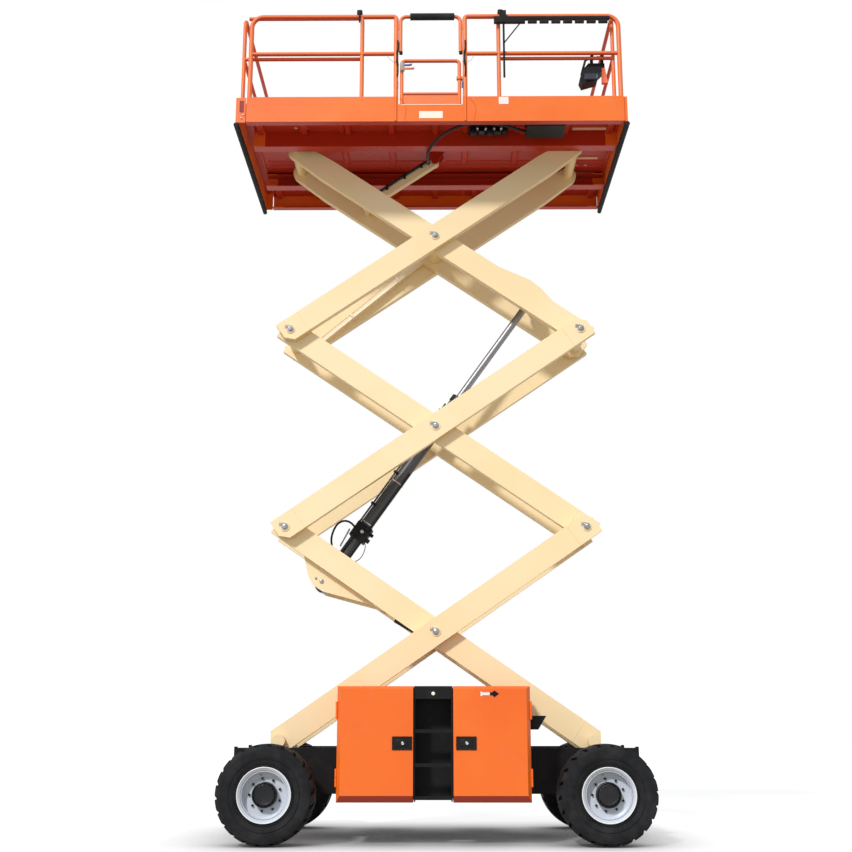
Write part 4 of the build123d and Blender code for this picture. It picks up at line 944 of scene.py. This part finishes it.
def dress_cabinets():
    """Door latches, travel arrow and ladder lamp on both sides."""
    for label, side in SIDES:
        for end, spans in (("rear", (-0.297, -0.163)), ("front", (0.134, 0.270))):
            low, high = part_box(f"door_{end}_{label}")
            face = max(abs(low.y), abs(high.y))
            latch_box(f"door_latch_{end}_{label}", spans[0], spans[1], 0.620, 0.708, face - 0.0005, side,
                      f"door_{end}_{label}")
        arrow_sign(f"travel_arrow_{label}", f"door_front_{label}", 0.300, 0.425, 0.988, 0.8315, side)
        lamp = add_cylinder(f"ladder_lamp_{label}", LENS, "chassis", (-0.020, side * 0.806, 0.990),
                            (0, side, 0), 0.013, 0.012, 24)
        inset_push(lamp, facing((0, side, 0)), 0.004, 0.003)
        round_edges(lamp, 0.0012)


def dress_chassis():
    """Tapered manifold box beside each front cabinet."""
    for side in (NEAR, FAR):
        low_y, high_y = sorted((side * 0.390, side * 0.640))
        box = add_box(f"manifold_box_{side + 2}", CARBON, "chassis",
                      (0.640, low_y, 0.752), (0.762, high_y, 0.845))
        taper(box, facing((0, 0, -1)), (0.55, 0.9, 1), (0.640, (low_y + high_y) / 2, 0.752))
        inset_push(box, facing((1, 0, 0), 0.6), 0.012, -0.004)
        round_edges(box, 0.008)


# ---------------------------------------------------------------- platform
def plate_on(name, material, body, low, high):
    """Blank enamel plate on the platform's near face, with a thin rolled rim."""
    plate = add_box(name, material, body, low, high)
    inset_push(plate, facing((0, -1, 0)), 0.004, 0)
    inset_push(plate, facing((0, -1, 0)), 0.0015, -0.0006)
    round_edges(plate, 0.0006, 1)
    return plate


def rail_clamp(name, x, y, z, body):
    """Moulded clamp over a top rail, with its bracket under the rail."""
    cap = add_box(name, CARBON, body, (x - 0.021, y - 0.024, z - 0.004), (x + 0.021, y + 0.024, z + 0.034))
    inset_push(cap, facing((0, 0, 1)), 0.006, 0.004)
    round_edges(cap, 0.005)
    leg = add_box(f"{name}_bracket", CARBON, body,
                  (x - 0.009, y - 0.027, z - 0.075), (x + 0.009, y - 0.017, z + 0.010))
    taper(leg, facing((0, 0, -1)), (0.6, 1, 1), (x, y - 0.022, z - 0.075))
    round_edges(leg, 0.002)


def post_strap(name, x, y, low_z, high_z, body):
    """Dark strap down a bay post, buckled in two places."""
    clear_selection()
    bpy.ops.mesh.primitive_cube_add(size=1, location=(x, y, (low_z + high_z) / 2))
    strap = start(name, CARBON, body)
    strap.scale = (0.012, 0.005, high_z - low_z)
    apply_place(strap)
    bpy.ops.object.mode_set(mode="EDIT")
    bpy.ops.mesh.select_all(action="SELECT")
    bpy.ops.mesh.subdivide(number_cuts=11)
    bpy.ops.object.mode_set(mode="OBJECT")
    for vertex in strap.data.vertices:
        height = (vertex.co.z - low_z) / (high_z - low_z)
        vertex.co.x += 0.0035 * sin(height * 9)
        vertex.co.x = x + (vertex.co.x - x) * (1.5 if 0.28 < height < 0.42 or 0.62 < height < 0.72 else 1)
    bpy.ops.object.shade_smooth_by_angle(angle=radians(40))
    return strap


def bay_seam(name, low_z, high_z, x_top, x_low, body):
    """Raised edge of the fascia panel beside a bay post, curved like an S, in a darker orange that paints the
    shadow along it.
    """
    y = -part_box("platform_frame")[1].y - 0.0008
    curve = bpy.data.curves.new(name, "CURVE")
    curve.dimensions = "3D"
    curve.bevel_depth = 0.0018
    curve.bevel_resolution = 2
    spline = curve.splines.new("BEZIER")
    spline.bezier_points.add(3)
    rise = high_z - low_z
    for point, (x, z) in zip(spline.bezier_points, (
            (x_top, high_z - 0.001), (x_top + 0.30 * (x_low - x_top), high_z - 0.14 * rise),
            (x_low, high_z - 0.36 * rise), (x_low - 0.16 * (x_low - x_top), low_z + 0.004))):
        point.co = (x, y, z)
        point.handle_left_type = point.handle_right_type = "AUTO"
    curve.materials.append(SEAM_SHADOW_ORANGE)
    piece = bpy.data.objects.new(name, curve)
    bpy.context.scene.collection.objects.link(piece)
    piece["ride_on"] = body


def rest_chain(name, a, b, body):
    """Thin lanyard that sags between the mid rail and the bay post."""
    mid = (Vector(a) + Vector(b)) / 2
    drop = Vector((0, 0, -0.018))
    points = [Vector(a), Vector(a).lerp(mid, 0.5) + drop * 0.6, mid + drop,
              Vector(b).lerp(mid, 0.5) + drop * 0.7, Vector(b)]
    hose(name, body, [tuple(p) for p in points], 0.004, LANYARD)


def dress_gate():
    """Latch block with its two levers on the gate's free stile."""
    low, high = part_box("entry_gate")
    x, y, top = low.x + 0.014, low.y + 0.014, high.z
    block = add_box("gate_latch", LATCH_GREY, "gate", (x - 0.010, y - 0.034, top - 0.112),
                    (x + 0.022, y - 0.012, top - 0.044))
    inset_push(block, facing((0, -1, 0)), 0.006, 0.003)
    round_edges(block, 0.002)
    for name, material, z, start_x, reach, lift in (
            ("gate_lever_upper", LEVER_BLUE, top - 0.067, 0.020, 0.062, 0.006),
            ("gate_lever_lower", LEVER_BROWN, top - 0.097, 0.004, 0.080, 0.003)):
        lever = add_box(name, material, "gate",
                        (x + start_x, y - 0.038, z - 0.008), (x + reach, y - 0.027, z + 0.008))
        pick_faces(lever, facing((1, 0, 0)))
        bpy.ops.mesh.extrude_region_move(TRANSFORM_OT_translate={"value": (0.018, 0, lift)})
        close_edit()
        round_edges(lever, 0.004)


def dress_bay():
    """Plates, straps, marks, clamps and lanyards around the entry bay."""
    pins = JOINT["platform_level"].z
    for label, x in (("rear", -0.585), ("front", 0.508)):
        rail_clamp(f"rail_clamp_{label}", x, RAIL_Y, pins + TOP_RAIL_RISE + 0.014, "platform")
    for label, x in (("rear", -0.288), ("front", 0.231)):
        post_strap(f"bay_strap_{label}", x, -0.826, 5.616, 5.924, "platform")
    plate_on("bay_plate", CREAM_PLATE, "platform", (-0.121, -0.8268, 5.264), (0.058, -0.8248, 5.322))
    plate_on("post_plate", WHITE, "platform", (0.486, -0.8268, 5.380), (0.560, -0.8248, 5.440))
    bay_seam("bay_seam_front", FASCIA_LOW, FASCIA_HIGH, 0.262, 0.306, "platform")
    bay_seam("bay_seam_rear", FASCIA_LOW, FASCIA_HIGH, -0.270, -0.226, "platform")
    for name, finish, low, high in (
            ("post_mark_red", RED, (-0.296, -0.824, 5.520), (-0.280, -0.8215, 5.575)),
            ("post_mark_blue", LEVER_BLUE, (0.203, -0.8225, 5.520), (0.215, -0.8195, 5.578)),
            ("bay_sill", SILL_PALE, (-0.262, -0.8275, 5.372), (0.205, -0.8235, 5.380))):
        mark = add_box(name, finish, "platform", low, high)
        inset_push(mark, facing((0, -1, 0)), 0.002, 0.0005)
    for x, label in ((-0.263, "rear"), (0.199, "front")):
        plug = add_cylinder(f"hoop_plug_{label}", CARBON, "platform", (x, RAIL_Y, pins + HOOP_END_RISE),
                            (0, 0, -1), 0.0135, 0.020, 20)
        inset_push(plug, facing((0, 0, -1)), 0.003, 0.002)
    rest_chain("lanyard_rear", (-0.369, -0.824, 5.792), (-0.300, -0.826, 5.741), "platform")
    rest_chain("lanyard_front", (0.300, -0.824, 5.792), (0.243, -0.826, 5.741), "platform")


def dress_corners():
    """Slot and screws in the rear corner return of the roll-out deck; the slot's dark red is painted shade
    inside the opening.
    """
    for side in (NEAR, FAR):
        y = side * 0.8152
        slot = add_box(f"corner_slot_{side + 2}", SLOT_SHADE_RED, "extension_rear",
                       (-1.492, min(y, y + side * 0.003), 5.325), (-1.462, max(y, y + side * 0.003), 5.418))
        inset_push(slot, facing((0, side, 0)), 0.004, -0.002)
        for i, z in enumerate((5.275, 5.300)):
            screw = add_cylinder(f"corner_screw_{side + 2}_{i}", STEEL, "extension_rear",
                                 (-1.478 + 0.014 * i, y + side * 0.003, z), (0, side, 0), 0.007, 0.006, 6)
            inset_push(screw, facing((0, side, 0)), 0.002, 0.001)


def under_ribs():
    """Pressed ribs and panel edges on the underside of the deck, between the channels, in the underside's
    painted-shade red.
    """
    deck_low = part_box("platform_deck")[0].z
    for i, x in enumerate((-1.05, -0.74, -0.35, 0.245, 0.66, 1.02)):
        for bay, (low_y, high_y) in enumerate(((-0.785, -0.385), (-0.160, 0.160), (0.385, 0.785))):
            rib = add_box(f"deck_rib_{i + 1}_{bay + 1}", UNDER_SHADE_RED, "platform",
                          (x - 0.030, low_y, deck_low - 0.014), (x + 0.030, high_y, deck_low - 0.0002))
            taper(rib, facing((0, 0, -1)), (0.62, 0.98, 1), (x, (low_y + high_y) / 2, deck_low))
            round_edges(rib, 0.003)
    for i, y in enumerate((-0.225, -0.120, 0.120, 0.225)):
        fold = add_box(f"deck_fold_{i + 1}", UNDER_SHADE_RED, "platform", (-1.400, y - 0.009, deck_low - 0.008),
                       (1.400, y + 0.009, deck_low - 0.0002))
        taper(fold, facing((0, 0, -1)), (1, 0.4, 1), (0, y, deck_low - 0.008))
    # pale strips that paint highlights on the flanges under the deck
    for i, (x0, x1, y) in enumerate(((1.085, 1.354, -0.454), (1.167, 1.338, -0.159), (1.142, 1.350, 0.059),
                                     (1.115, 1.364, 0.366))):
        strip = add_box(f"highlight_strip_{i + 1}", STRIP_HIGHLIGHT, "platform", (x0, y - 0.016, deck_low - 0.010),
                        (x1, y + 0.016, deck_low - 0.0002))
        inset_push(strip, facing((0, 0, -1)), 0.005, 0.003)
    # pale studs that paint highlights on the rollers under the deck
    for i, (x, y) in enumerate(((1.239, -0.300), (1.311, -0.300), (1.192, 0.210), (1.268, 0.210),
                                (-1.10, -0.470), (-1.02, -0.470))):
        stud = add_cylinder(f"deck_stud_{i + 1}", STRIP_HIGHLIGHT, "platform", (x, y, deck_low - 0.0015),
                            (0, 0, -1), 0.013, 0.003, 20)
        inset_push(stud, facing((0, 0, -1)), 0.004, 0.0005)


def dress_underside():
    """Valve cluster beside the junction box and the supply hose that drops to the upper link."""
    plate = add_box("manifold_plate", CARBON, "platform",
                    (0.262, -0.600, DECK_FOOT - 0.016), (0.575, -0.430, DECK_FOOT - 0.0005))
    inset_push(plate, facing((0, 0, -1)), 0.010, -0.003)
    round_edges(plate, 0.002)
    for i, (x, y, w, d, h) in enumerate((
            (0.300, -0.540, 0.050, 0.050, 0.048), (0.365, -0.520, 0.046, 0.070, 0.036),
            (0.430, -0.545, 0.040, 0.050, 0.052), (0.490, -0.515, 0.056, 0.060, 0.034),
            (0.545, -0.550, 0.034, 0.044, 0.044))):
        body = add_box(f"manifold_valve_{i + 1}", (CARBON, STEEL_DARK)[i % 2], "platform",
                       (x - w / 2, y - d / 2, DECK_FOOT - 0.016 - h),
                       (x + w / 2, y + d / 2, DECK_FOOT - 0.014))
        inset_push(body, facing((0, 0, -1)), 0.008, 0.004)
        inset_push(body, facing((0, -1, 0)), 0.008, 0.003)
        round_edges(body, 0.002)
    for i, (x, y) in enumerate(((0.330, -0.575), (0.395, -0.570), (0.460, -0.572), (0.515, -0.575))):
        nut = add_cylinder(f"manifold_fitting_{i + 1}", STEEL, "platform", (x, y - 0.020, DECK_FOOT - 0.045),
                           (0, -1, 0), 0.010, 0.028, 6)
        inset_push(nut, facing((0, -1, 0)), 0.003, 0.003)
    hose("platform_hose", "platform", [
        (0.706, -0.560, 5.290), (0.660, -0.572, 5.290), (0.590, -0.600, 5.306), (0.505, -0.622, 5.314),
        (0.389, -0.640, 5.318), (0.300, -0.645, 5.316), (0.200, -0.638, 5.300), (0.100, -0.610, 5.266),
        (0.020, -0.562, 5.228), (-0.035, -0.480, 5.202), (-0.058, -0.380, 5.194), (-0.060, -0.260, 5.196),
        (-0.062, -0.160, 5.212), (-0.060, -0.100, 5.234), (-0.050, -0.066, 5.258)], 0.024, HOSE)


def dress_link():
    """Black hose clipped along the upper centring link."""
    top, foot = JOINT["platform_level"], JOINT["fold_link_upper"]
    along = (foot - top).normalized()
    normal = Vector((along.z, 0, -along.x))
    if normal.z < 0:
        normal = -normal
    length = (foot - top).length
    side = Vector((0, -0.046, 0))
    points = [top + along * s * length + normal * n + side for s, n in (
        (0.06, 0.030), (0.16, 0.034), (0.30, 0.030), (0.48, 0.033), (0.66, 0.030), (0.82, 0.034),
        (0.96, 0.030))]
    hose("link_hose", "link_upper", [tuple(p) for p in points], 0.022, HOSE)
    for i, s in enumerate((0.2, 0.45, 0.7, 0.92)):
        spot = top + along * s * length + side
        clip = add_box(f"link_hose_clip_{i + 1}", CARBON, "link_upper",
                       (spot.x - 0.010, spot.y - 0.014, spot.z + 0.014),
                       (spot.x + 0.010, spot.y + 0.014, spot.z + 0.046))
        inset_push(clip, facing((0, -1, 0)), 0.003, 0.001)
        round_edges(clip, 0.003)


def dress_control_box():
    """Console face and the bracket that holds the upper control station."""
    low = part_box("control_box")[0]
    body = "extension_front"
    front = low.y
    face = add_box("console_panel", CONSOLE_DARK, body, (low.x + 0.026, front - 0.0030, low.z + 0.020),
                   (low.x + 0.128, front + 0.001, low.z + 0.066))
    slide(face, facing((0, 0, 1)), (0.006, 0, 0))
    inset_push(face, facing((0, -1, 0)), 0.005, -0.0012)
    bracket = add_box("console_bracket", BRACKET_RED, body, (low.x + 0.165, front + 0.010, low.z - 0.010),
                      (low.x + 0.215, front + 0.040, low.z + 0.120))
    taper(bracket, facing((0, 0, 1)), (0.45, 1, 1), (low.x + 0.175, front, low.z + 0.120))
    inset_push(bracket, facing((0, -1, 0)), 0.008, -0.004)
    round_edges(bracket, 0.003)


# ---------------------------------------------------------------- making
bpy.context.scene.view_settings.view_transform = "Standard"
set_camera()
set_light()
lay_floor()
paint_frame()
dress_underside()
dress_link()
dress_bay()
cylinder_place = dress_cylinder()
for name, size, kind, points in (
        ("cylinder_hose", 0.016, "medium", (
            (-0.062, -0.030, 0.500), (-0.120, -0.033, 0.520), (-0.190, -0.036, 0.460),
            (-0.170, -0.035, 0.340), (-0.110, -0.030, 0.270), (-0.066, -0.026, 0.226))),
        ("cylinder_wire", 0.006, "limp", (
            (0.060, -0.040, 0.450), (0.086, -0.044, 0.440), (0.112, -0.046, 0.390),
            (0.120, -0.044, 0.330), (0.098, -0.036, 0.280), (0.056, -0.020, 0.256)))):
    hose(name, "cylinder_barrel", [tuple(cylinder_place @ Vector(p)) for p in points], size, HOSE)
dress_wheels()
dress_pins()
arm_beads()
cable_tray()
arm_small_parts()
dress_cabinets()
dress_chassis()
dress_gate()
dress_corners()
under_ribs()
dress_control_box()
ride_all()
